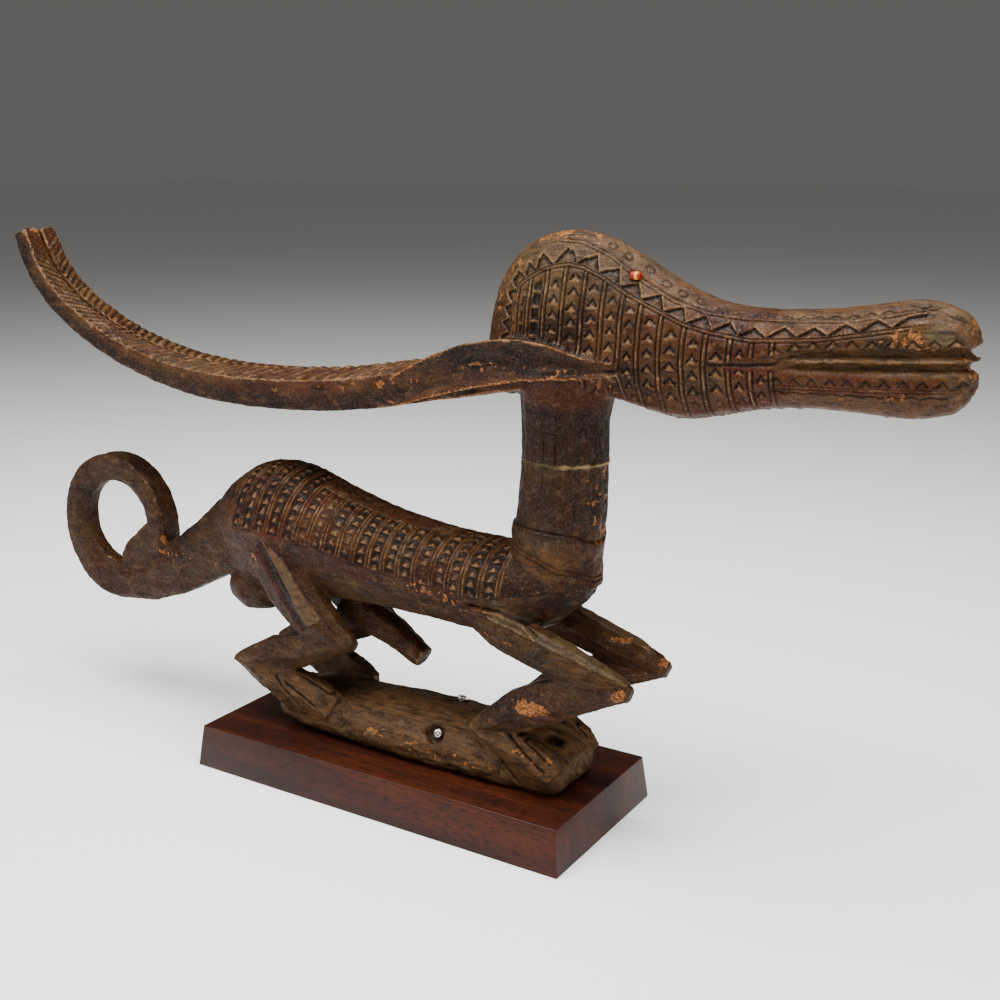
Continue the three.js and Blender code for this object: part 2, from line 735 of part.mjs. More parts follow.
function tieHole(place, depth) {
  const mouth = logSpot(place);
  const ends = [past(mouth, place.outward, TIE_HOLE), past(mouth, place.outward, -depth)];
  return solid(rod(...ends, TIE_HOLE, 16));
}

// Screws: a domed head on a shank. One stands on the log's crown, one lies in the side hole.
function screw(seat, outward) {
  const profile = [
    [0, -SCREW_LENGTH],
    [SCREW_SHANK / 2, -SCREW_LENGTH],
    [SCREW_SHANK / 2, 0],
    [SCREW_HEAD / 2, 0],
    [SCREW_HEAD / 2, SCREW_HEAD_HEIGHT * 0.35],
    [SCREW_HEAD * 0.4, SCREW_HEAD_HEIGHT * 0.75],
    [SCREW_HEAD * 0.2, SCREW_HEAD_HEIGHT * 0.97],
    [0, SCREW_HEAD_HEIGHT],
  ];
  const turned = new THREE.LatheGeometry(profile.map(([r, h]) => new THREE.Vector2(r, h)), 16);
  turned.applyQuaternion(new THREE.Quaternion().setFromUnitVectors(V(0, 1, 0), outward));
  return turned.translate(...past(seat, outward, FIT_CLEARANCE));
}

function screwBore(seat, outward) {
  const end = past(seat, outward, -SCREW_LENGTH - FIT_CLEARANCE);
  const clear = past(seat, outward, SCREW_HEAD);
  const counterbore = rod(seat, clear, SCREW_HEAD + 2 * FIT_CLEARANCE, 16);
  return solid(rod(end, clear, SCREW_SHANK + 2 * FIT_CLEARANCE, 12)).add(solid(counterbore));
}

const SEAT_SINK = 0.2;
const topSeat = past(logSpot(TOP_SCREW), TOP_SCREW.outward, -SEAT_SINK);
const sideSeat = past(logSpot(SIDE_HOLE), SIDE_HOLE.outward, -SIDE_HOLE_DEPTH);

// Bead: a barrel lying in a drilled seat in the near side of the crest.
const BEAD_AT = { along: 17, up: 76.5 };

const BEAD_SIDES = 14;
const BEAD_STEPS = 6;
const BEAD_END_TURN = 0.22 * Math.PI; // how far round its bulge the barrel's flat ends are cut

function beadPlace() {
  const z = upHead(BEAD_AT.up);
  return V(alongHead(BEAD_AT.along), -halfWidthAt(z, headSection(BEAD_AT.along)), z);
}

function bead() {
  const reach = BEAD_LENGTH / 2;
  const points = [new THREE.Vector2(0, -reach)];
  for (let i = 0; i <= BEAD_STEPS; i++) {
    const turn = THREE.MathUtils.lerp(BEAD_END_TURN, Math.PI - BEAD_END_TURN, i / BEAD_STEPS);
    const along = (-reach * Math.cos(turn)) / Math.cos(BEAD_END_TURN);
    points.push(new THREE.Vector2((BEAD_DIAMETER / 2) * Math.sin(turn), along));
  }
  points.push(new THREE.Vector2(0, reach));
  const barrel = new THREE.LatheGeometry(points, BEAD_SIDES);
  barrel.rotateZ(-Math.PI / 2);
  return barrel.translate(...beadPlace());
}

function beadSeat() {
  const reach = V(BEAD_LENGTH / 2 + FIT_CLEARANCE, 0, 0);
  const ends = [-1, 1].map((way) => beadPlace().addScaledVector(reach, way));
  return solid(rod(...ends, BEAD_DIAMETER + 2 * FIT_CLEARANCE, BEAD_SIDES));
}

function plinth() {
  const ring = (grow, z) => {
    const x = PLINTH_LENGTH / 2 + grow;
    const y = PLINTH_WIDTH / 2 + grow;
    return [V(x, y, z), V(-x, y, z), V(-x, -y, z), V(x, -y, z)];
  };
  const arrisGrow = (PLINTH_BATTER * PLINTH_ARRIS) / PLINTH_HEIGHT;
  return solid(
    loft([
      ring(PLINTH_BATTER, 0),
      ring(arrisGrow, PLINTH_HEIGHT - PLINTH_ARRIS),
      ring(arrisGrow - PLINTH_ARRIS, PLINTH_HEIGHT),
    ]),
  );
}

const SIMPLER_BY = 0.19; // how far a surface may move when its nearly flat facets are merged

function bodyCarving() {
  const forms = [log(), torso(), legs(), tail(), roundForm(SHEATH, 8), roundForm(SCROTUM, 10), lowerNeck()];
  const carved = join(forms);
  return carved
    .subtract(tieHole(SIDE_HOLE, SIDE_HOLE_DEPTH))
    .subtract(tieHole(FRONT_HOLE, FRONT_HOLE_DEPTH))
    .subtract(screwBore(topSeat, TOP_SCREW.outward))
    .subtract(screwBore(sideSeat, SIDE_HOLE.outward))
    .simplify(SIMPLER_BY);
}

function headCarving() {
  const horn = hornRings();
  const ear = earRings();
  const sides = [horn, otherSide(horn), ear, otherSide(ear)].map((rings) => solid(loft(rings)));
  return join([head(), upperNeck(), hornWeb(), ...sides]).subtract(beadSeat()).simplify(SIMPLER_BY);
}

// Back to a three.js geometry.
function geometryOf(carving) {
  const { vertProperties, triVerts } = carving.getMesh();
  const geometry = new THREE.BufferGeometry();
  geometry.setAttribute("position", new THREE.BufferAttribute(vertProperties, 3));
  geometry.setIndex(new THREE.BufferAttribute(triVerts, 1));
  geometry.computeVertexNormals();
  return geometry;
}

const finishes = {
  carvedWood: { color: 0x3d2a1f, roughness: 0.6, metalness: 0 },
  mahogany: { color: 0x3a150e, roughness: 0.25, metalness: 0 },
  steel: { color: 0xc9c6bf, roughness: 0.25, metalness: 1 },
  redGlass: { color: 0xb5201c, roughness: 0.2, metalness: 0 },
};

function piece(name, geometry, finish) {
  const mesh = new THREE.Mesh(geometry, new THREE.MeshStandardMaterial(finishes[finish]));
  mesh.name = name;
  return mesh;
}

const group = new THREE.Group();
group.add(
  piece("plinth", geometryOf(plinth()), "mahogany"),
  piece("body_carving", geometryOf(bodyCarving()), "carvedWood"),
  piece("head_carving", geometryOf(headCarving()), "carvedWood"),
  piece("top_screw", screw(topSeat, TOP_SCREW.outward), "steel"),
  piece("side_screw", screw(sideSeat, SIDE_HOLE.outward), "steel"),
  piece("bead", bead(), "redGlass"),
);

export default group;
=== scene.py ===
# %% [markdown]
# A carved headdress in the shape of a crouching antelope, on a log base and a polished wooden plinth.
# The solids come ready made, in metres. This script dresses them: it gives the two carvings their fine
# chip-carved patterns, wear and patina, with painted shade in hollows and under overhangs and painted
# highlights on faces turned to the light, and it models the plinth, the screws and the bead.

import math

import bpy
import numpy as np
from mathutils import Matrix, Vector


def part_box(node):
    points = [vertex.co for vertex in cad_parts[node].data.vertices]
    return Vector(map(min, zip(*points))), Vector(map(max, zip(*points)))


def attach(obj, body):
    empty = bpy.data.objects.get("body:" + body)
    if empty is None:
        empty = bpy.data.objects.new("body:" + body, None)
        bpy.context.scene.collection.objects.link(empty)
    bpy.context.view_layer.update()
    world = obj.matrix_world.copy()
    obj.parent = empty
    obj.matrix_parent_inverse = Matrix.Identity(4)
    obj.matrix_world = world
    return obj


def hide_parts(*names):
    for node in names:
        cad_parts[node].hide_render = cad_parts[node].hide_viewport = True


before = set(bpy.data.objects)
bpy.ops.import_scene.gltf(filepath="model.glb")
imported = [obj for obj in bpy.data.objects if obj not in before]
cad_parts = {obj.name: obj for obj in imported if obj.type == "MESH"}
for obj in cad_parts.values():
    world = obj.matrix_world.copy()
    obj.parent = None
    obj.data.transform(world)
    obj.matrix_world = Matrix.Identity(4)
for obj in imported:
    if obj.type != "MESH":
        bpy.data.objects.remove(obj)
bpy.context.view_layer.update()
MM = 0.001
print("solids:", ", ".join(sorted(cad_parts)))


# %% [markdown]
# Blender's operators act on whatever is selected, so each step starts by selecting one object alone.
# A carving's fine surface is a copy of its solid: its loose triangles are merged, and a voxel remesh gives
# it an even skin of small squares that can be carved by moving points.

# %% Helpers for one object at a time
def only(piece):
    """Selects one object and makes it active."""
    if bpy.context.object and bpy.context.object.mode != "OBJECT":
        bpy.ops.object.mode_set(mode="OBJECT")
    bpy.ops.object.select_all(action="DESELECT")
    piece.select_set(True)
    bpy.context.view_layer.objects.active = piece


def apply_modifier(piece, kind, **settings):
    """Adds a modifier with its settings and applies it."""
    only(piece)
    modifier = piece.modifiers.new(kind.title(), kind)
    for name, value in settings.items():
        setattr(modifier, name, value)
    bpy.ops.object.modifier_apply(modifier=modifier.name)


def skin_of(node, name, voxel):
    """A copy of a CAD solid with an even skin of squares of about that size in mm."""
    piece = bpy.data.objects.new(name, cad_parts[node].data.copy())
    bpy.context.scene.collection.objects.link(piece)
    only(piece)
    bpy.ops.object.mode_set(mode="EDIT")
    bpy.ops.mesh.select_all(action="SELECT")
    bpy.ops.mesh.remove_doubles(threshold=0.005 * MM)
    bpy.ops.object.mode_set(mode="OBJECT")
    apply_modifier(piece, "REMESH", mode="VOXEL", voxel_size=voxel * MM)
    print(name, "skin:", len(piece.data.polygons), "squares")
    return piece


def points_of(piece):
    """The mesh's points in mm."""
    co = np.empty(len(piece.data.vertices) * 3)
    piece.data.vertices.foreach_get("co", co)
    return co.reshape(-1, 3) / MM


def normals_of(piece):
    normal = np.empty(len(piece.data.vertices) * 3)
    piece.data.vertex_normals.foreach_get("vector", normal)
    return normal.reshape(-1, 3)


def move_points(piece, points):
    piece.data.vertices.foreach_set("co", (points * MM).ravel())
    piece.data.update()


def edges_of(piece):
    ends = np.empty(len(piece.data.edges) * 2, np.int64)
    piece.data.edges.foreach_get("vertices", ends)
    return ends.reshape(-1, 2)


# %% [markdown]
# Two things make the surface look worked by hand. Relaxing a point moves it towards its neighbours, which
# takes the facets of the solid away, and noise from a fixed lattice gives lumps and tool marks that come
# out the same on every run. The difference between the surface and its relaxed copy shows where an
# edge stands out, and that is where hands have rubbed the dark patina away.

# %% Relax and mottle
def relaxed(points, ends, rounds, share=1.0):
    """The points after some rounds of moving each one towards the middle of its neighbours."""
    count = np.bincount(ends.ravel(), minlength=len(points))
    share = np.broadcast_to(np.asarray(share, float), len(points))[:, None]
    for _ in range(rounds):
        total = np.empty_like(points)
        for axis in range(3):
            total[:, axis] = np.bincount(ends[:, 0], points[ends[:, 1], axis], len(points))
            total[:, axis] += np.bincount(ends[:, 1], points[ends[:, 0], axis], len(points))
        points = points + 0.6 * share * (total / count[:, None] - points)
    return points


def mottle(points, size, seed):
    """Smooth noise from -1 to 1 at points in mm, with lumps of that size in mm."""
    grid = points / size + seed * 19.7
    low = np.floor(grid).astype(np.int64)
    part = grid - low
    part = part * part * (3 - 2 * part)
    total = np.zeros(len(points))
    for corner in np.ndindex(2, 2, 2):
        cell = (low + corner) * (73856093, 19349663, 83492791)
        mixed = cell[:, 0] ^ cell[:, 1] ^ cell[:, 2]
        mixed = (mixed ^ (mixed >> 13)) * 1274126177
        value = ((mixed >> 8) & 0xFFFF) / 32767.5 - 1
        total += value * np.prod(np.where(corner, part, 1 - part), axis=1)
    return total


def smooth_step(low, high, value):
    t = np.clip((value - low) / (high - low), 0, 1)
    return t * t * (3 - 2 * t)


def read_rows(rows, at):
    """Reads a table smoothly at values of its first column, and gives its other columns."""
    rows = np.array(rows, float)
    places = rows[:, 0]
    before = np.vstack([rows[:1], rows[:-1]])
    after = np.vstack([rows[1:], rows[-1:]])
    slopes = (after - before) / (after[:, :1] - before[:, :1])
    i = np.clip(np.searchsorted(places, at) - 1, 0, len(places) - 2)
    span = (places[i + 1] - places[i])[:, None]
    t = np.clip((at - places[i])[:, None] / span, 0, 1)
    rise = rows[i + 1] - rows[i]
    start, end = slopes[i] * span, slopes[i + 1] * span
    value = rows[i] + t * (start + t * (3 * rise - 2 * start - end + t * (start + end - 2 * rise)))
    return value[:, 1:].T


# %% [markdown]
# The carver's marks are of a few kinds: a line cut with a narrow tool, a rib left standing between two
# cuts, and a triangular chip that is deep along its upper sides and runs out at its base. Each is a small
# function of distances in mm that gives how far the surface moves out (plus) or in (minus).

# %% The carver's marks
FAR = 99.0  # a distance in mm at which no mark is left


def rib(distance, width, height):
    """A rounded rib along the place where the distance is 0."""
    return height * np.clip(1 - (2 * distance / width) ** 2, 0, 1)


def cut(distance, width, depth):
    """A line cut by a narrow tool."""
    return -depth * np.clip(1 - np.abs(2 * distance / width), 0, 1)


def chip(across, up, width, height, lean=0.0):
    """A triangle on its base: 0 outside it and along its two upper sides, up to 1 at the base's middle.
    The second result is the distance in mm inside the nearer side, negative outside the triangle."""
    apex = lean * width / 2
    left = (across + width / 2) * height - up * (apex + width / 2)
    left = left / np.hypot(height, apex + width / 2)
    right = (width / 2 - across) * height - up * (width / 2 - apex)
    right = right / np.hypot(height, width / 2 - apex)
    inside = np.minimum(np.minimum(left, right), up * 3)
    deepest = width / 2 * height / np.hypot(height, width / 2)
    return np.clip(np.minimum(left, right) / deepest, 0, 1) * (inside > 0), inside


def along_line(points, normals, line):
    """For points beside a line drawn in the side view: the distance along the line, and the distance
    from it over the surface, plus on the line's left."""
    line = np.array(line, float)
    best = np.full(len(points), 1e9)
    place = np.zeros(len(points))
    offset = np.zeros(len(points))
    way = np.zeros((len(points), 2))
    walked = 0.0
    flat = points[:, [0, 2]]
    for i, (a, b) in enumerate(zip(line[:-1], line[1:])):
        step = b - a
        length = np.hypot(*step)
        share = (flat - a) @ step / length**2
        low = -9.0 if i == 0 else 0.0
        high = 9.0 if i == len(line) - 2 else 1.0
        share = np.clip(share, low, high)
        gap = flat - (a + share[:, None] * step)
        distance = np.hypot(gap[:, 0], gap[:, 1])
        near = distance < best
        best = np.where(near, distance, best)
        place = np.where(near, walked + share * length, place)
        side = np.sign(step[0] * gap[:, 1] - step[1] * gap[:, 0])
        offset = np.where(near, side * distance, offset)
        way[near] = np.array([-step[1], step[0]]) / length
        walked += length
    tilt = way[:, 0] * normals[:, 0] + way[:, 1] * normals[:, 2]
    return place, offset / np.sqrt(np.clip(1 - tilt**2, 0.15, 1))


def beside_line(points, normals, line, chosen=True):
    """The distance over the surface from a line in the side view, counted only beside the line itself and
    at the chosen points."""
    place, offset = along_line(points, normals, line)
    length = np.hypot(*np.diff(np.array(line, float), axis=0).T).sum()
    return np.where((place > 0) & (place < length) & chosen, offset, FAR)


# %% [markdown]
# The body is carved in one piece with its log. Its back is a barrel with a sharp lower edge, and bands of
# small raised studs cross it between pairs of thin ribs. The table says how high the back and the edge
# are and how wide the back is, so that a mark's place on the curved surface can be worked out.

# %% The body's skin
BODY_VOXEL = 1.1
BACK = [
    # x, top of the back, edge low on the flank, half width
    (-178, 191.8, 177.8, 13),
    (-165, 207, 177.8, 20),
    (-147, 220.6, 177.8, 28),
    (-125, 228.2, 179.8, 33),
    (-100, 228.2, 179, 36),
    (-60, 215, 175.8, 36),
    (-20, 204.6, 169.8, 36),
    (30, 197.8, 165.8, 36),
    (76.5, 196.2, 163.8, 36),
    (107, 194.6, 167.8, 31.7),
    (128, 191, 172.6, 23.8),
    (141, 185.8, 177.8, 13),
]
BACK_POWER = 2.22  # how full the barrel's section is

body = skin_of("body_carving", "body_carving_carved", BODY_VOXEL)


def on_back(points):
    """Where points lie on the barrel of the back: how surely, the angle up from the flank's edge, and
    the girth in mm up from that edge."""
    x, y, z = points.T
    top, edge, half = read_rows(BACK, x)
    tall = top - edge
    across = np.abs(y) / half
    up = np.clip((z - edge) / tall, 0, None)
    size = (across**BACK_POWER + up**BACK_POWER) ** (1 / BACK_POWER)
    off = np.abs(size - 1) * half
    sure = smooth_step(3.5, 2, off) * (z > edge) * smooth_step(-168, -160, x) * smooth_step(140, 134, x)
    turn = np.arctan2(up, across)
    return sure, turn, turn * np.sqrt((half**2 + tall**2) / 2)


def refine(piece, chosen):
    """Cuts the squares whose points are all chosen into four."""
    only(piece)
    bpy.ops.object.mode_set(mode="EDIT")
    bpy.ops.mesh.select_mode(type="FACE")
    bpy.ops.mesh.select_all(action="DESELECT")
    bpy.ops.object.mode_set(mode="OBJECT")
    corners = np.empty(len(piece.data.loops), np.int64)
    piece.data.loops.foreach_get("vertex_index", corners)
    starts = np.empty(len(piece.data.polygons), np.int64)
    piece.data.polygons.foreach_get("loop_start", starts)
    picked = np.minimum.reduceat(chosen[corners].astype(np.int8), starts).astype(bool)
    piece.data.polygons.foreach_set("select", picked)
    bpy.ops.object.mode_set(mode="EDIT")
    bpy.ops.mesh.subdivide(number_cuts=1)
    bpy.ops.object.mode_set(mode="OBJECT")
    print(piece.name, "refined:", int(picked.sum()), "squares, now", len(piece.data.polygons))


RING_MIDDLE = (-296.8, 156.2)
RING_STEP = 18.25  # degrees between the flats of the solid's ring


def round_ring(points):
    """Moves the flats of the tail's ring out to a smooth curve, by how far each point is from a corner."""
    x, z = points[:, 0] - RING_MIDDLE[0], points[:, 2] - RING_MIDDLE[1]
    turn = (270 - np.degrees(np.arctan2(z, x))) % 360
    half = RING_STEP / 2
    off_middle = np.radians((turn % RING_STEP) - half)
    grown = np.cos(off_middle) / math.cos(math.radians(half))
    on_ring = (turn < 292) & (np.hypot(x, z) < 75)
    grown = np.where(on_ring, grown, 1.0)
    moved = points.copy()
    moved[:, 0] = RING_MIDDLE[0] + x * grown
    moved[:, 2] = RING_MIDDLE[1] + z * grown
    return moved


def on_feet(points):
    """The four feet, which stay crisp where the log under them is rounded."""
    x, y, z = points.T
    along = ((x > 72) & (x < 142)) | ((x > -112) & (x < -44))
    return along & (np.abs(y) > 17) & (z < 84)


ends = edges_of(body)
points = relaxed(round_ring(points_of(body)), ends, 2)
sure, _, girth = on_back(points)
points = relaxed(points, ends, 40, sure * smooth_step(2, 9, girth))
x, y, z = points.T
log_like = smooth_step(78, 68, z) * (1 - 0.9 * on_feet(points))
tail_root = smooth_step(-205, -215, x) * smooth_step(-252, -240, x) * 0.25
round_parts = np.maximum(tail_root, (x < -118) & (z < 152) & (z > 100) & (np.abs(y) < 22) & (x > -205))
points = relaxed(points, ends, 12, np.maximum(log_like, round_parts))
move_points(body, points)
neck_like = (z > 176) & (x > 82)
limb_like = (np.abs(y) > 21) & (z < 178) & (z > 60) & (x > -150) & (x < 190)
refine(body, (sure > 0.3) | neck_like | limb_like | on_feet(points))

# %% [markdown]
# Now the bands. Their ribs lean: over the rump each one's top lies ahead of its foot. A strip of plain
# wood with a few rings runs along the spine between the two sides.

# %% The bands across the back
FEET = [-150, -136.5, -123, -109, -94.5, -80.5, -68.5, -55.5, -41.5, -28.5, -15, -2, 10.5, 24, 38.5, 51.5, 63,
        77, 91]
LEAN = 14.0  # how far a rib's top lies ahead of its foot at the rump
RIB_GAP = 1.35  # from the middle of a pair of ribs to each of them
RIB_WIDTH = 1.5
SUNK = 1.25  # how deep the bands lie between the pairs of ribs
STUD_PITCH = 7.0
STUD = (8.4, 5.4)  # width and height of a stud
STRIP = (-78.3, 36.3)  # the plain strip, from one pair of ribs to another
STRIP_HALF = [(-70, 11.2), (10, 9.4), (36, 7)]  # half its width along the back
RINGS = [-64, -53, -40, -24, -14]


def back_relief(points, normals):
    """How far the back's surface moves at each point, how rubbed it is, with painted highlights on the
    lattice's chip floors, and how deep it lies, painted dark as patina and painted shade.
    """
    sure, turn, girth = on_back(points)
    x, y, _ = points.T
    rise = np.sin(turn)
    foot = x.copy()
    for _ in range(3):
        foot = x - LEAN * np.clip((12 - foot) / 135, 0, 1) * rise
    stretch = 1 / np.sqrt(np.clip(1 - normals[:, 0] ** 2, 0.3, 1))
    feet = np.array(FEET)
    wobble = 0.35 * mottle(points, 14, 3)
    band = np.interp(foot + wobble, feet, np.arange(len(feet)))
    nearest = np.clip(np.round(band).astype(int), 0, len(feet) - 1)
    beside = (foot + wobble - feet[nearest]) * stretch
    left = np.clip(np.floor(band).astype(int), 0, len(feet) - 2)
    middle = (feet[left] + feet[left + 1]) / 2
    inside = (foot + wobble - middle) * stretch
    step = girth - 3.4 + 2.1 * (left % 3)
    stud, _ = chip(inside, step % STUD_PITCH - 0.8, *STUD)
    in_bands = smooth_step(-152, -147, foot) * (foot < feet[-1] + 2.2)
    patterned = in_bands * smooth_step(1.8, 2.6, girth)
    pit = smooth_step(0.2, 1.0, np.abs(beside) - RIB_GAP - RIB_WIDTH / 2)
    floor = -SUNK * (0.8 + 0.25 * mottle(points, 5, 4))
    worn_out = smooth_step(0.1, 0.8, mottle(points, 22, 5)) * 0.45
    stud = np.clip(stud * 1.9, 0, 1) ** 0.8
    height = patterned * (floor * pit + stud * pit * (SUNK + 0.1)) * (1 - worn_out)
    ribs = rib(np.abs(beside) - RIB_GAP, RIB_WIDTH, 0.4) + cut(beside, 1.3, 0.75)
    height += patterned * ribs
    rubbed_and_highlight = patterned * rib(np.abs(beside) - RIB_GAP, RIB_WIDTH, 1.0) * 0.8
    rubbed_and_highlight = np.maximum(rubbed_and_highlight, patterned * stud * pit * 0.9)

    lattice = (foot >= feet[-1] + 2.2) * smooth_step(2, 3, girth) * smooth_step(129, 122, x)
    row = np.floor(girth / 4.2)
    tiny, _ = chip((x + 2.1 * (row % 2)) % 4.2 - 2.1, girth % 4.2 - 0.5, 3.6, 3.1)
    height += lattice * (0.75 * tiny - 0.75)
    # painted highlight on the lattice chips' floors
    rubbed_and_highlight = np.maximum(rubbed_and_highlight, lattice * tiny * 0.7)

    strip_half = np.interp(x, *np.array(STRIP_HALF).T)
    strip_long = (foot > STRIP[0]) * (foot < STRIP[1])
    on_strip = strip_long * (np.abs(y) < strip_half) * (points[:, 2] > 190)
    height = np.where(on_strip, 0.0, height)
    rubbed_and_highlight = np.where(on_strip, 0.5, rubbed_and_highlight)
    border = np.where(strip_long, np.abs(y) - strip_half + 0.6, FAR)
    height += cut(border - 1.3, 1.2, 0.7) + cut(border + 1.3, 1.2, 0.7) + rib(border, 1.4, 0.25)
    rubbed_and_highlight = np.maximum(rubbed_and_highlight, rib(border, 1.8, 0.7))
    for place in RINGS:
        away = np.hypot(x - place, y)
        height += on_strip * cut(away - 2.6, 1.6, 1.1)
        rubbed_and_highlight = np.maximum(rubbed_and_highlight, on_strip * rib(away - 1.3, 1.6, 0.6))
    edge_line = (cut(girth - 1.2, 1.4, 0.8) + cut(girth + 1.6, 1.3, 0.6)) * in_bands
    # The last value paints the deep places dark: dark patina and painted shade.
    return sure * (height + edge_line), sure * rubbed_and_highlight, sure * smooth_step(-0.25, -1.0, height)


# %% [markdown]
# Hands and tools leave more than the pattern: low lumps, flats from the adze and fine dents all over, a
# rougher log, and a pale uneven joint where the neck's two blocks meet.

# %% The body's wear
SEAM_Z = 258.4
NECK_MIDDLE = 120.0
NECK_FLATS = 14  # adze flats round the neck
COLLAR_LINE = [(84, 214.5), (97, 215), (122, 214.6), (140, 212), (148, 206.6), (152, 204)]
NECK_CUTS = [(84, 201.5), (94.7, 199.8), (115, 196.3), (129, 190), (142, 187), (149, 181)]
SPEAR_REAR = [(-111.8, 176), (-98, 160), (-83, 140), (-68, 118)]
SPEAR_FRONT = [(-111.8, 176), (-92, 165), (-76, 144), (-58, 127), (-44, 113)]
SHOULDER_CUT = [(67.8, 159), (92, 158.4), (111, 153.5), (122, 147)]
ARM_RIDGE = [(84, 154), (120, 145), (160, 134), (184, 126)]
TOE_CUTS = [
    [(103, 78), (131, 58)],
    [(97, 75), (128, 53)],
    [(77, 66), (92, 54), (108, 38)],
    [(-95, 70), (-66, 56)],
    [(-84, 77), (-55, 66)],
    [(-104, 73), (-78, 50)],
]
BARE_PATCHES = [
    # middle of a patch rubbed or chipped to bare wood, and its reach in mm
    ((119, -38, 98), (14, 8, 6)),
    ((181, -34, 119), (5, 12, 5)),
    ((184, 30, 122), (4, 12, 4)),
    ((155, 21, 134), (9, 10, 1.8)),
    ((-236, -10, 150), (6, 5, 5)),
]
FLECKED = [
    # middle of a place where only flecks of the patina are gone, and its reach in mm
    ((84, -35, 141), (26, 10, 5)),
    ((62, -36, 158), (18, 10, 8)),
    ((20, -36, 164), (40, 8, 4)),
    ((-128, -30, 150), (14, 12, 12)),
    ((-226, 0, 142), (34, 20, 8)),
    ((150, 0, 255), (6, 30, 60)),
    ((118, -30, 66), (16, 14, 16)),
    ((30, -40, 46), (120, 12, 6)),
]


def patches(points, spots):
    """1 in the middle of each spot, fading out at its reach, with ragged edges."""
    total = np.zeros(len(points))
    ragged = 0.35 * mottle(points, 3.5, 21) + 0.25 * mottle(points, 1.6, 22)
    for middle, reach in spots:
        away = np.sqrt((((points - middle) / reach) ** 2).sum(1))
        total = np.maximum(total, smooth_step(1.1, 0.75, away + ragged))
    return total


def flecked(points, spots):
    """The same, broken into flecks of a few mm."""
    flecks = smooth_step(0.18, 0.5, mottle(points, 2.4, 36) + 0.4 * mottle(points, 7, 37))
    return patches(points, spots) * flecks


def wear(points, ends, normals):
    """How far each point stands out from the smoothed surface round it, in mm: plus on edges."""
    calm = relaxed(points, ends, 14)
    return ((points - calm) * normals).sum(1)


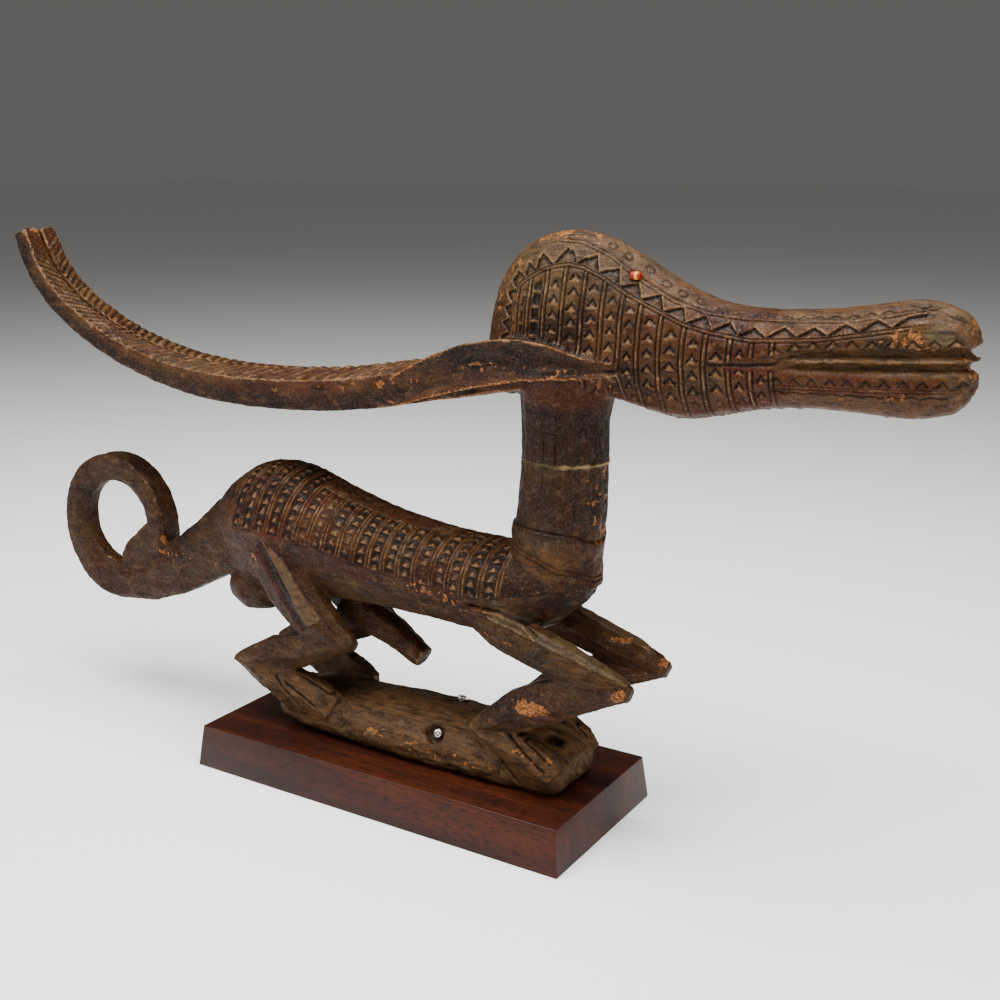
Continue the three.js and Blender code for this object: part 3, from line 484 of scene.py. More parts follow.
def body_marks(points, normals):
    """The body's marks apart from the back's: their height, the ridges among them, and masks for colours."""
    x, y, z = points.T
    log_like = smooth_step(80, 68, z) * (np.abs(x - 11) < 130)
    lumps = 0.3 * mottle(points, 11, 6) + 0.2 * mottle(points, 5, 7) + 0.22 * mottle(points, 2.6, 38)
    tool = 0.4 * np.abs(mottle(points * (0.5, 1, 1.3), 8, 8))
    bark = 0.6 * mottle(points * (0.5, 1, 1), 8, 9) + 0.7 * mottle(points * (0.3, 1.3, 1.3), 3.4, 10)
    bark = bark - 1.0 * np.abs(mottle(points * (0.5, 1, 1), 3.0, 19)) + 0.35 * mottle(points, 12, 34)
    height = lumps - tool + log_like * bark * (1 - 0.6 * on_feet(points))
    seam_height, seam_dust = neck_seam(points)
    height += seam_height
    outer = np.abs(y) > 22
    on_neck = (z > 180) * (x > 82) * smooth_step(0.6, 0.35, normals[:, 2])
    collar = beside_line(points, normals, COLLAR_LINE)
    height += on_neck * (cut(collar - 1.0, 2.2, 1.2) + 1.0 * (collar < 0) * smooth_step(-16, -1, collar))
    height += on_neck * (z > 216) * 0.7 * neck_flats(points)
    neck_cuts = beside_line(points, normals, NECK_CUTS, (z < 206) & (x > 82))
    height += cut(np.abs(neck_cuts) - 1.6, 1.8, 1.1) + rib(neck_cuts, 1.6, 0.3)
    spear_rear = beside_line(points, normals, SPEAR_REAR, outer)
    spear_front = beside_line(points, normals, SPEAR_FRONT, outer)
    spear = outer * (spear_rear > 0) * (spear_rear < 40) * (spear_front < 0)
    leaf = np.minimum(spear_rear, -spear_front)
    height += spear * (0.9 * smooth_step(0, 1.2, leaf) - 0.06 * np.clip(leaf, 0, 8))
    rear_cut = cut(spear_rear + 1.4, 2.6, 1.6) * (spear_front < 3)
    front_cut = cut(spear_front - 1.2, 2.2, 1.2) * (spear_rear > 0)
    height += outer * (z < 176) * np.minimum(rear_cut, front_cut)
    behind_spear = outer * (spear_rear > -14) * (spear_rear < 0) * (z < 176)
    height -= 1.9 * behind_spear * smooth_step(0, -1.2, spear_rear) * smooth_step(-14, -7, spear_rear)
    shoulder = beside_line(points, normals, SHOULDER_CUT, np.abs(y) > 1)
    height += cut(shoulder, 2.6, 1.8) + rib(shoulder + 2.6, 3.0, 0.9)
    arm = beside_line(points, normals, ARM_RIDGE, outer)
    height += rib(arm, 2.4, 0.8)
    for line in TOE_CUTS:
        toe = beside_line(points, normals, line, np.abs(y) > 19)
        height += cut(toe, 2.6, 2.3) + rib(toe + 2.4, 2.2, 0.6)
    ridges = rib(spear_rear - 0.6, 1.6, 0.4) + rib(spear_front + 0.6, 1.6, 0.4) + rib(arm, 1.8, 0.5)
    ridges = np.clip(ridges + rib(shoulder + 2.6, 2.0, 0.5), 0, 1)
    bare = np.maximum(patches(points, BARE_PATCHES), 0.9 * flecked(points, FLECKED))
    height -= 0.4 * bare
    arm_top = outer * (arm > 0) * (arm < 13) * (x > 70)
    torso_glow = smooth_step(-125, -90, x) * smooth_step(45, 0, x) * (z < 214) * (z > 160)
    colours = {
        "dust": seam_dust,
        "earthy": log_like,
        "bare": bare,
        # painted grey highlight on the thigh's spear facet and on the arm's top
        "painted_sheen": spear * smooth_step(0.2, 1.4, leaf) * (0.8 + 0.3 * mottle(points, 9, 35)) + 0.5 * arm_top,
        "ruddy": np.maximum(0.8 * behind_spear, torso_glow * smooth_step(-0.3, 0.4, mottle(points, 26, 31))),
        "upright": smooth_step(196, 204, z) * (x > 80),
        # painted shade: the upper neck under the head, behind the rump, and the lower flanks and legs under
        # the body's edge, leaving out the lit spear facet and the arm's top
        "painted_shade": np.maximum.reduce([
            0.75 * smooth_step(200, 215, z) * (x > 80),
            0.55 * smooth_step(-150, -165, x),
            0.5 * smooth_step(78, 86, z) * smooth_step(182, 174, z) * (1 - spear) * (1 - 0.6 * arm_top),
        ]),
    }
    return height, ridges, colours


def neck_flats(points):
    """How full each of the upright adze flats round the neck is, most at its middle."""
    x, y, _ = points.T
    facing = np.arctan2(y, x - NECK_MIDDLE) / (2 * np.pi) * NECK_FLATS
    flats = (facing + 0.3 * mottle(points * (1, 1, 0.2), 15, 23)) % 1 - 0.5
    return 0.25 - flats**2


def neck_seam(points):
    """Old filler stands a little proud along the joint between the two blocks, pale and broken."""
    x, _, z = points.T
    neck = (z > 240) * (z < 270) * (x > 84) * (x < 160)
    away = np.abs(z - SEAM_Z)
    broken = smooth_step(-0.5, 0.6, mottle(points, 7, 11) + (x - 126) / 14)
    height = neck * (0.5 * smooth_step(1.4, 0.5, away) + 0.3 * broken * smooth_step(2.2, 1.0, away))
    spread = away + 0.9 * mottle(points, 3.0, 24)
    return height, neck * (0.25 + 0.75 * broken) * smooth_step(1.6, 0.4, spread)


# %% [markdown]
# Every mark is now a height in mm, so the body is carved in one go: each point moves along its normal by
# the sum of them. The barrel of the back is relaxed once more first, so that the studs stand on an even base.

# %% Carve the body
ends = edges_of(body)
points = points_of(body)
sure, _, girth = on_back(points)
points = relaxed(points, ends, 6, sure * smooth_step(1, 4, girth))
move_points(body, points)
normals = normals_of(body)
bulge = wear(points, ends, normals)
relief, rubbed_and_highlight, dark = back_relief(points, normals)
marks, ridges, colours = body_marks(points, normals)
patterned = np.clip(rubbed_and_highlight + dark, 0, 1)
points = points + normals * (relief + marks * (1 - 0.6 * patterned))[:, None]
move_points(body, points)
print("body relief from", round(float(relief.min()), 2), "to", round(float(relief.max()), 2), "mm")


# %% [markdown]
# The same numbers tell where the wood is rubbed, dark, dusty or bare, and where light and shade are painted:
# painted highlights on the chips' floors and on faces turned up, painted shade in cuts, hollows and under
# overhangs. They are stored on the mesh's points as masks that the material reads, so colour and relief
# agree. Then the flattest faces are merged, because they add nothing to the shape.

# %% Paint masks onto a carving
TRIANGLES = 190000  # of each finished carving


def paint(piece, **masks):
    """Stores each mask as a value from 0 to 1 on the mesh's points."""
    for name, values in masks.items():
        layer = piece.data.attributes.new(name, "FLOAT", "POINT")
        layer.data.foreach_set("value", np.clip(values, 0, 1).astype(np.float32))


def lighten(piece, triangles):
    """Merges the flattest faces until about that many triangles are left."""
    only(piece)
    bpy.ops.object.mode_set(mode="EDIT")
    bpy.ops.mesh.select_all(action="SELECT")
    bpy.ops.mesh.quads_convert_to_tris()
    bpy.ops.object.mode_set(mode="OBJECT")
    share = triangles / len(piece.data.polygons)
    apply_modifier(piece, "DECIMATE", ratio=min(share, 1.0))
    bpy.ops.object.shade_smooth()
    print(piece.name, "has", len(piece.data.polygons), "triangles")


# Deep cuts are painted near-black: dark patina and painted shade.
in_cuts = 0.9 * smooth_step(-0.8, -1.9, marks)
paint(
    body,
    # wear on raised edges, with painted highlights on the lattice chips' floors
    worn=np.maximum(np.maximum(rubbed_and_highlight * 0.75, ridges), smooth_step(0.2, 0.8, bulge)),
    # cuts and hollow places painted near-black: dark patina and painted shade
    dark=np.maximum(np.maximum(dark, in_cuts), smooth_step(0.15, 0.7, -bulge) * 0.7),
    **colours,
)
lighten(body, TRIANGLES)
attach(body, "root")
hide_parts("body_carving")

# %% [markdown]
# The head block holds the upper neck, the head, the two horns and the two ears. The same table-and-skin
# method serves: the head's sections are ovals, so a side view places every mark.

# %% The head's skin
HEAD_VOXEL = 1.1
FACE = [
    # x, crest, height of the widest place, half width, jaw
    (70, 348.8, 321.8, 12.1, 297.8),
    (73, 363.6, 321.8, 16.5, 296.8),
    (79, 379.5, 323.7, 20.4, 296.8),
    (91, 392.5, 325.7, 24, 297.8),
    (108, 401.7, 329.6, 26, 300.8),
    (131, 404.6, 331.7, 27, 302.2),
    (152, 400.7, 331.7, 27.5, 301.4),
    (172, 391.6, 331.7, 27.5, 297.7),
    (192, 380.5, 330.7, 27, 293.3),
    (212, 370.8, 331.7, 25.5, 292.7),
    (232, 365.1, 332.7, 23, 297.9),
    (252, 363.4, 334.8, 21, 302.8),
    (282, 364.6, 337.8, 19.5, 306.2),
    (312, 368.6, 340.7, 19, 306.3),
    (337, 373.3, 342.7, 18.5, 305.5),
    (353, 372.1, 342.7, 17, 308),
    (363, 367.3, 342.7, 14, 312.7),
    (369.6, 360.7, 342.7, 10, 319.9),
    (372, 354.8, 342.7, 6.6, 326.5),
]
FACE_POWER = 1.9  # how full the head's section is
MOUTH = (262, 374)  # from the corner's end to the snout's tip

head = skin_of("head_carving", "head_carving_carved", HEAD_VOXEL)


def on_face(points):
    """How surely points lie on the head's oval surface, and not on an ear, a horn or the neck, or in the
    mouth."""
    x, y, z = points.T
    crest, wide, half, jaw = read_rows(FACE, x)
    reach = np.where(z > wide, crest - wide, wide - jaw)
    share = np.clip(np.abs(z - wide) / reach, 0, 1.2)
    size = np.sqrt((y / half) ** 2 + share**FACE_POWER)
    sure = smooth_step(2.6, 1.6, np.abs(size - 1) * half)
    return sure * smooth_step(69, 72, x) * (z > jaw + 0.2)


ends = edges_of(head)
points = points_of(head)
x, _, z = points.T
in_mouth = (x > MOUTH[0]) * (x < MOUTH[1]) * (z > 326) * (z < 352)
points = relaxed(points, ends, 3, 1 - 0.75 * in_mouth)
sure = on_face(points)
points = relaxed(points, ends, 34, sure * smooth_step(366, 352, points[:, 0]))
x, y, z = points.T
horn_top = smooth_step(60, 44, x) * (np.abs(y) < 30)
points = relaxed(points, ends, 22, horn_top * smooth_step(0.5, 0.8, normals_of(head)[:, 2]))
move_points(head, points)
refine(head, (sure > 0.3) | ((x < 70) & (normals_of(head)[:, 2] > 0.3)) | (z < 286) & (x > 84))

# %% [markdown]
# Down the cheek run upright pairs of cuts, with rows of arched chips between them. A double line closes
# this panel at the top, tall triangles stand on it, and a second double line follows the crest.

# %% The head's marks
PANEL_LINE = [(94, 330), (95.4, 349), (96.4, 361), (98, 370), (104, 374), (113, 379), (122, 382),
              (132, 383.5), (142, 382), (156, 376.6), (170, 369), (189, 360.7), (208, 352.8), (225, 348.6),
              (250, 345.5), (287, 348.2), (318, 354), (338, 358)]
STRIP_LINE = [(74, 337), (77, 356), (82, 376.5), (89, 385), (98, 392.5), (119, 397.5), (138, 396.5),
              (158, 389), (177, 377), (201, 365), (222, 359), (246, 357), (275, 357.5), (304, 359.5),
              (327, 363.8), (340, 367)]
COLUMNS = [97, 106, 118, 130.6, 144.5, 158, 170.5, 182.5, 196, 210.5, 224, 238.5, 251, 263]
CHEVRON_PITCH = 8.9
CHEVRON_HEIGHT = 5.4
ZIGZAG = [(6, -5.5), (50, -0.5), (58.7, 0.5), (154.5, 6.5), (202.4, 9.5), (290.5, 14.5)]
ZIGZAG_PITCH = [(50, 9), (58, 15.4), (290, 17.4)]  # along the panel's line, and the width of a tooth there
CREST_PITCH = 9.4  # of the small chips along the snout's crest
CREST_RINGS = [(156.4, 7.1), (168, 8.6), (182, 7.6), (194, 10), (204.5, 10.3), (215.7, 9.5), (229.6, 9.8)]
UPPER_LIP = [(236, 333), (265, 338.8), (279, 342.7), (311, 345.8), (341, 347.7), (372, 350.2)]
LOWER_LIP = [(236, 328.6), (279, 328.8), (311, 330.2), (341, 332.3), (372, 334.2)]
LIP_PITCH = 10.8
MOUTH_CORNER = [(226, 330.6), (250, 331.8), (268, 333.6)]


def face_relief(points, normals):
    """How far the head's pattern moves each point; how rubbed the point is, with painted highlights on the
    chips' floors; and how deep it is, painted dark as patina and painted shade.
    """
    sure = on_face(points)
    x, y, z = points.T
    walked, above = along_line(points, normals, PANEL_LINE)
    _, over_strip = along_line(points, normals, STRIP_LINE)
    _, over_upper = along_line(points, normals, UPPER_LIP)
    _, over_lower = along_line(points, normals, LOWER_LIP)
    wobble = 0.3 * mottle(points, 12, 12)
    height = np.zeros(len(points))
    rubbed_and_highlight = np.zeros(len(points))

    columns = np.array(COLUMNS)
    stretch = 1 / np.sqrt(np.clip(1 - normals[:, 0] ** 2, 0.3, 1))
    at = x + wobble
    below_panel = smooth_step(-0.6, -1.4, above)
    mouth_gap = np.where(x > 236, (over_upper > -0.3) | (over_lower < 0.3), True)
    _, _, _, jaw = read_rows(FACE, x)
    off_jaw = smooth_step(0.5, 3, z - jaw)
    off_neck = np.maximum(smooth_step(134, 140, x), z > 318)
    in_panel = below_panel * mouth_gap * off_jaw * off_neck * (at > columns[0] - 3) * (at < columns[-1] + 2.2)
    nearest = columns[np.abs(at[:, None] - columns).argmin(1)]
    beside = (at - nearest) * stretch
    height += in_panel * (cut(np.abs(beside) - 1.5, 1.5, 1.3) + rib(beside, 1.8, 0.3))
    rubbed_and_highlight = np.maximum(rubbed_and_highlight, in_panel * (rib(beside, 1.8, 0.6) + rib(np.abs(beside) - 2.9, 1.2, 0.35)))

    band = np.clip(np.searchsorted(columns, at) - 1, 0, len(columns) - 2)
    middle = (columns[band] + columns[band + 1]) / 2
    step = (z - 2.2 * (band % 3) + 1.5 * mottle(points, 60, 13)) % CHEVRON_PITCH
    clear = smooth_step(3.0, 3.6, np.abs(beside))
    room = smooth_step(-4.5, -6, above) * off_jaw * off_neck * mouth_gap
    room = room * (at > columns[0]) * (at < columns[-1])
    faint = smooth_step(300, 314, z + 3 * mottle(points, 18, 14))
    cell = (columns[band + 1] - columns[band]) * stretch - 4.9
    arch, inside = chip((at - middle) * stretch, step - 1.2, cell, CHEVRON_HEIGHT)
    arched = (at > columns[2]) * (inside > 0)
    depth = 1.5 * room * clear * (0.35 + 0.65 * faint)
    height += -depth * arched * (1 - arch) ** 1.6
    ledge = smooth_step(2.0, 1.0, step) + smooth_step(CHEVRON_PITCH - 1.0, CHEVRON_PITCH - 0.3, step)
    height += -depth * 0.8 * (at <= columns[2]) * (1 - np.clip(ledge, 0, 1))
    # each chip's floor, which faces up, is painted lighter: painted highlight; the ledge above it is rubbed
    rubbed_and_highlight = np.maximum(rubbed_and_highlight, depth * (arch * arched * 0.7 + 0.4 * rib(step - 0.6, 1.6, 1)))

    height += cut(np.abs(above) - 1.2, 1.2, 0.8) * (x < 338)
    rubbed_and_highlight = np.maximum(rubbed_and_highlight, rib(above, 1.4, 0.5) * (x < 338))
    drawn = (x < 334) | (above > 0)
    height += cut(np.abs(over_strip) - 1.2, 1.2, 0.65) * drawn * (z > 335)
    rubbed_and_highlight = np.maximum(rubbed_and_highlight, rib(over_strip, 1.4, 0.5) * (z > 335))

    tall = np.interp(x, [84, 110, 190, 250, 340], [6.6, 9.6, 8.6, 6.6, 6.2])
    pitch = np.interp(walked, *np.array(ZIGZAG_PITCH).T)
    tooth_at = (np.interp(walked, *np.array(ZIGZAG).T) % 1 - 0.5) * pitch
    tooth, tooth_in = chip(tooth_at, above - 2.0, pitch * 0.96, tall, 0.15)
    on_zigzag = (above > 1.6) & (x < 345)
    height += on_zigzag * (tooth_in > 0) * -1.35 * (1 - tooth) ** 1.6
    height += on_zigzag * rib(tooth_in + 0.9, 1.8, 0.35)
    # the teeth's rims are rubbed, and their floors get a painted highlight
    rubbed_and_highlight = np.maximum(rubbed_and_highlight, on_zigzag * (rib(tooth_in + 0.8, 1.6, 0.75) + 0.35 * (tooth_in > 0) * tooth))

    crest_at = x % CREST_PITCH - CREST_PITCH / 2
    crest, crest_in = chip(crest_at, over_strip - 1.9, CREST_PITCH * 0.8, 2.8)
    on_crest = (over_strip > 1.8) & (x > 238) & (x < 330)
    height += on_crest * (crest_in > 0) * -0.9 * (1 - crest)
    # painted highlight on the crest chips' floors
    rubbed_and_highlight = np.maximum(rubbed_and_highlight, on_crest * crest * 0.6)

    for ring_x, ring_y in CREST_RINGS:
        away = np.hypot(x - ring_x, np.abs(y) - ring_y)
        height += cut(away - 2.5, 1.5, 0.85) * (z > 350)

    small = (x > MOUTH[0]) & (x < 369)
    lip_at = (x % LIP_PITCH) - LIP_PITCH / 2
    lip, lip_in = chip(lip_at, over_upper - 0.4, LIP_PITCH * 0.8, 4.2)
    height += -1.1 * small * (over_upper > 0) * (1 - lip) ** 1.8 * (lip_in > 0)
    # painted highlight on the lip chips' floors, and wear along the lip's edge
    lip_rubbed_and_highlight = np.maximum(lip**0.5 * 0.8, rib(over_upper, 1.6, 0.4))
    rubbed_and_highlight = np.maximum(rubbed_and_highlight, small * (over_upper > 0) * lip_rubbed_and_highlight)
    jaw_at = (x % (LIP_PITCH * 0.93)) - LIP_PITCH * 0.465
    pits, pit_in = chip(jaw_at, over_lower + 6.2, LIP_PITCH * 0.7, 4.4)
    height += -1.0 * small * (over_lower < 0) * (1 - pits) ** 1.5 * (pit_in > 0)
    corner = beside_line(points, normals, MOUTH_CORNER)
    height += cut(corner, 3.4, 1.6)
    jaw_line = small * (x < 366)
    height += jaw_line * cut(np.abs(over_lower + 8.4) - 1.0, 1.0, 0.6)
    scallop = over_lower + 14 - 1.6 * np.abs(np.sin(np.pi * x / LIP_PITCH))
    height += small * (x < 360) * cut(scallop, 1.6, 1.0)
    rubbed_and_highlight = np.maximum(rubbed_and_highlight, jaw_line * rib(over_lower + 8.4, 1.4, 0.5))
    # The last value paints the deep parts dark, most along the chips' upper sides: dark patina and painted
    # shade.
    return sure * height, sure * rubbed_and_highlight, sure * smooth_step(-0.2, -0.85, height)


# %% [markdown]
# The horns are cut across by rounded ridges, all the way from the tips to the back of the head. They get
# finer towards the tips. A bead line runs along each outer edge.

# %% The horns' ridges
HORN_LINE = [(-373.9, 389.3), (-362.5, 363.1), (-338.2, 337.4), (-289.7, 310.4), (-235.8, 293.3),
             (-180.8, 284.8), (-139.7, 283.1), (-91.7, 284.1), (-45.7, 288.1), (-0.2, 295.6), (60.2, 308.1),
             (123, 320.1)]
RIDGE_PITCH = (5.4, 8.4)  # at the tip and near the head
RIDGE_SLANT = 13.0  # how far a ridge's inner end lies ahead of its outer end
HORN_HALF = [(-374, 15), (-338, 18), (-290, 20.5), (-236, 23.5), (-181, 26.5), (-140, 28.8), (-60, 29.2),
             (95, 29)]  # half the width over both horns


def horn_relief(points, normals):
    """The horns' ridges: their height; how rubbed they are; the grooves between them, painted dark as patina
    and painted shade; the rim's chips; and the underside, where shade is painted.
    """
    x, y, z = points.T
    walked, above = along_line(points, np.zeros_like(normals), HORN_LINE)
    half = np.interp(x, *np.array(HORN_HALF).T)
    inward = np.clip(1 - np.abs(y) / half, 0, 1)
    place = walked - RIDGE_SLANT * inward
    pitch = np.interp(place, [0, 380], RIDGE_PITCH)
    turns = place / pitch + 0.12 * mottle(points, 15, 15)
    ridge = np.abs(np.sin(np.pi * turns)) ** 0.55
    top = smooth_step(0.3, 0.62, normals[:, 2]) * smooth_step(3, 6, above)
    top = top * smooth_step(1.2, 2.4, np.abs(y)) * smooth_step(58, 50, x) * (z > 285)
    rim = half - np.abs(y)
    ridged = top * smooth_step(1.2, 2.0, rim)
    height = ridged * (ridge - 0.8) * 1.9
    bead_line = top * smooth_step(2.0, 1.2, rim)
    rubbed_and_highlight = np.maximum(ridged * ridge**3 * 0.5, bead_line * 0.7)
    outer = (x < 70) * (np.abs(y) > half - 3) * (np.abs(y) < 31.5)
    flecks = smooth_step(0.25, 0.55, mottle(points, 2.2, 32) + 0.35 * mottle(points, 14, 33) - 0.1)
    chips = outer * smooth_step(0, 3, above) * smooth_step(9.5, 7, above) * flecks
    # The third value paints the grooves between the ridges dark: patina and painted shade.
    return height, rubbed_and_highlight, ridged * (1 - ridge) * 0.95, chips, outer * smooth_step(3, -2, above)


# %% [markdown]
# Single marks are left: the small strip let into the neck, the cuts along the ears' stems, the edge and the
# broken end of the snout, and the places where the patina is rubbed or flecked away.

# %% The rest of the head block
INLAY = ((120.3, 127.2), (258.5, 278.5))  # a small upright strip let into the neck, x and z
EAR_STEMS = [[(120, 317), (148, 320), (170, 322.5)], [(124, 325), (148, 324), (170, 322.5)]]
SNOUT_EDGE = [(318, 371), (332, 370), (350, 368), (364.5, 362)]
HEAD_PATCHES = [
    ((-374, 0, 394), (10, 30, 7)),
    ((-4, -30, 300), (5, 5, 3)),
    ((120, -4, 404), (9, 6, 4)),
]
HEAD_FLECKED = [
    ((368, 0, 346), (6, 16, 28)),
    ((342, -15, 352), (20, 8, 7)),
    ((298, -17, 316), (10, 6, 4)),
    ((338, -14, 318), (16, 8, 4)),
    ((84, -14, 362), (7, 9, 14)),
    ((94, -14, 380), (7, 8, 6)),
    ((130, 0, 402), (40, 14, 8)),
    ((150, -20, 316), (14, 14, 8)),
    ((90, -20, 318), (120, 14, 4)),
]
SNOUT_SHEEN = ((354, -14, 356), (8, 9, 6))  # a smooth grey spot on the snout's side: a painted highlight


def head_marks(points, normals, bulge):
    """The head block's single marks: their height, and masks for colours."""
    x, y, z = points.T
    inlay_x = np.abs(x - sum(INLAY[0]) / 2) - (INLAY[0][1] - INLAY[0][0]) / 2
    inlay_z = np.abs(z - sum(INLAY[1]) / 2) - (INLAY[1][1] - INLAY[1][0]) / 2
    inlay = np.where(y < -15, np.maximum(inlay_x, inlay_z), FAR)
    height = cut(inlay - 0.5, 1.8, 1.0) + 0.5 * (inlay < 0)
    on_neck = (z > SEAM_Z) * (z < 292) * (x > 86) * (x < 156)
    height += on_neck * 0.9 * neck_flats(points)
    for line in EAR_STEMS:
        stem = beside_line(points, normals, line, np.abs(y) > 24)
        height += cut(stem, 2.0, 1.3) + rib(stem - 2.0, 1.8, 0.4)
    edge = beside_line(points, normals, SNOUT_EDGE, np.abs(y) > 2)
    height += cut(edge + 0.6, 1.8, 0.8)
    top_flat = (x > 314) * (edge > 0) * (edge < 40)
    broken_end = smooth_step(366, 370, x)
    height -= broken_end * (0.5 + 0.7 * mottle(points, 3.5, 25) + 0.4 * mottle(points, 1.8, 26))
    bare = np.maximum(patches(points, HEAD_PATCHES), 0.95 * flecked(points, HEAD_FLECKED))
    spot = patches(points, [SNOUT_SHEEN])
    ear = (np.abs(y) > 27) * (x > -6) * (x < 150) * (z > 286) * (z < 350)
    ear_rim = ear * smooth_step(0.1, 0.4, bulge) * (0.55 + 0.45 * smooth_step(332, 320, z))
    hollow = (np.abs(y) > 25) * (x > -2) * (x < 150) * smooth_step(309, 319, z) * (bulge < 0.1)
    in_mouth = (x > MOUTH[0]) * (x < MOUTH[1]) * (np.abs(y) < 14)
    colours = {
        "bare": np.maximum(bare * (1 - spot), ear_rim),
        # painted grey highlight on the snout's flat top, on a spot on its side and along the top of the head
        "painted_sheen": np.maximum(0.5 * top_flat, spot) + 0.35 * smooth_step(350, 372, z) * (x < 250) * (x > 70),
        "ruddy": 0.7 * smooth_step(334, 328, z) * (x > 236) + 0.4 * smooth_step(322, 306, z) * (x > 140),
        "upright": smooth_step(296, 290, z) * (x > 84) * (x < 156),
        # painted shade: the neck under the head and the upper part of each ear's hollow
        "painted_shade": 0.95 * smooth_step(300, 292, z) * (x > 84) * (x < 156) + 0.8 * hollow,
        "earthy": 0.9 * in_mouth,
    }
    return height - 0.35 * bare, colours


# %% [markdown]
# The head block is carved as the body was. The horns' ridges, the neck's seam and the fine lumps are added
# to its pattern, and the masks are painted from the same numbers.

# %% Carve the head
ends = edges_of(head)
points = points_of(head)
points = relaxed(points, ends, 6, on_face(points))
move_points(head, points)
normals = normals_of(head)
bulge = wear(points, ends, normals)
relief, rubbed_and_highlight, dark = face_relief(points, normals)
ridges, ridge_rubbed, ridge_dark, chips, under = horn_relief(points, normals)
x, y, z = points.T
lumps = 0.2 * mottle(points, 11, 16) + 0.14 * mottle(points, 5, 17) + 0.18 * mottle(points, 2.6, 39)
tool = 0.25 * np.abs(mottle(points * (0.5, 1, 1.3), 8, 18))
seam_height, seam_dust = neck_seam(points)
extra, colours = head_marks(points, normals, bulge)
colours["bare"] = np.maximum(colours["bare"], 0.9 * chips)
# painted shade under the horns
colours["painted_shade"] = np.maximum(colours["painted_shade"], 0.85 * under)
patterned = np.clip(rubbed_and_highlight + dark + ridge_rubbed + ridge_dark, 0, 1)
outward = relief + ridges + (lumps - tool) * (1 - 0.6 * patterned) + seam_height + extra
move_points(head, points + normals * outward[:, None])
# Cuts and hollow places are painted near-black here too: dark patina and painted shade.
in_cuts = 0.9 * smooth_step(-0.5, -1.2, extra)
paint(
    head,
    # wear on raised edges, with painted highlights on the chips' floors
    worn=np.maximum(
        np.maximum(rubbed_and_highlight, ridge_rubbed),
        # less of it on the horns' undersides, so they stay dark: painted shade
        smooth_step(0.15, 0.6, bulge) * (0.65 + 0.35 * (x < MOUTH[0])) * (1 - 0.8 * under * (x < -6)),
    ),
    dark=np.maximum(
        np.maximum(np.maximum(dark, ridge_dark), in_cuts),
        smooth_step(0.15, 0.7, -bulge) * (0.7 - 0.45 * (x > MOUTH[0])),
    ),
    dust=seam_dust,
    **colours,
)
print("head relief from", round(float(relief.min()), 2), "to", round(float(relief.max()), 2), "mm")
lighten(head, TRIANGLES)
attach(head, "root")
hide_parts("head_carving")

# %% [markdown]
# Colours are given as they look on a screen and turned to linear light once, here. One small function
# adds a node with its settings and its links, so a material reads from top to bottom.

# %% Colour and node helpers
def colour(code):
    """A linear colour from its sRGB hex code."""
    parts = [int(code[i : i + 2], 16) / 255 for i in (1, 3, 5)]
    return tuple(p / 12.92 if p <= 0.04045 else ((p + 0.055) / 1.055) ** 2.4 for p in parts) + (1.0,)


def fill(tree, made, inputs):
    """Links each of a node's inputs to a socket or sets it to a value."""
    for name, value in inputs.items():
        if isinstance(value, bpy.types.NodeSocket):
            tree.links.new(value, made.inputs[name])
        else:
            made.inputs[name].default_value = value


def node(tree, kind, inputs=None, **settings):
    """Adds a node, sets its properties and fills its inputs."""
    made = tree.nodes.new("ShaderNode" + kind)
    for name, value in settings.items():
        setattr(made, name, value)
    fill(tree, made, inputs or {})
    return made


def ramp(tree, value, stops):
    """Colours along a value from 0 to 1."""
    made = node(tree, "ValToRGB", {"Fac": value})
    band = made.color_ramp
    while len(band.elements) < len(stops):
        band.elements.new(0.5)
    for element, (place, code) in zip(band.elements, stops):
        element.position = place
        element.color = colour(code)
    return made.outputs["Color"]


def blend_colour(tree, share, first, second):
    """Mixes two colours, each a socket or a hex code. Sockets 6, 7 and 2 are the node's colour ones."""
    first, second = (colour(c) if isinstance(c, str) else c for c in (first, second))
    return node(tree, "Mix", {0: share, 6: first, 7: second}, data_type="RGBA").outputs[2]


def maths(tree, operation, a, b=0.0, clamp=False):
    return node(tree, "Math", {0: a, 1: b}, operation=operation, use_clamp=clamp).outputs[0]


def fresh_material(name):
    material = bpy.data.materials.new(name)
    material.use_nodes = True
    tree = material.node_tree
    shader = tree.nodes["Principled BSDF"]
    place = node(tree, "TexCoord").outputs["Object"]
    return material, tree, shader, place


def noise(tree, place, size_mm, stretch=(1, 1, 1), detail=4.0, rough=0.55):
    """Noise whose lumps are about that many mm across, drawn out along an axis by a small scale."""
    moved = node(tree, "Mapping", {"Vector": place, "Scale": stretch})
    return node(
        tree,
        "TexNoise",
        {"Vector": moved.outputs[0], "Scale": 1 / (size_mm * MM), "Detail": detail, "Roughness": rough},
    ).outputs["Fac"]


def sharpen(tree, value, low, high):
    """0 below the low value and 1 past the high one, with a soft step between them."""
    inputs = {"Value": value, "From Min": low, "From Max": high}
    return node(tree, "MapRange", inputs, interpolation_type="SMOOTHSTEP").outputs[0]


def spread(tree, value, low, high, start=0.0, end=1.0):
    """Turns a value between start and end into one between low and high."""
    inputs = {"Value": value, "From Min": start, "From Max": end, "To Min": low, "To Max": high}
    return node(tree, "MapRange", inputs).outputs[0]


# %% [markdown]
# The carvings are a dense tropical hardwood, dark from oil, smoke and handling. Raised edges are rubbed back
# to a tan or orange brown, and pale dust and old filler lie along the neck's joint. Deep cuts, grooves and
# hollows are painted nearly black, as dark patina and painted shade; painted shade also lies on the neck
# under the head, under the horns, in the ears and on the lower flanks and legs, and painted grey highlights
# lie on faces turned up to the light and on the chips' floors. The patina gives a broken satin sheen, so
# roughness varies with the noise too.

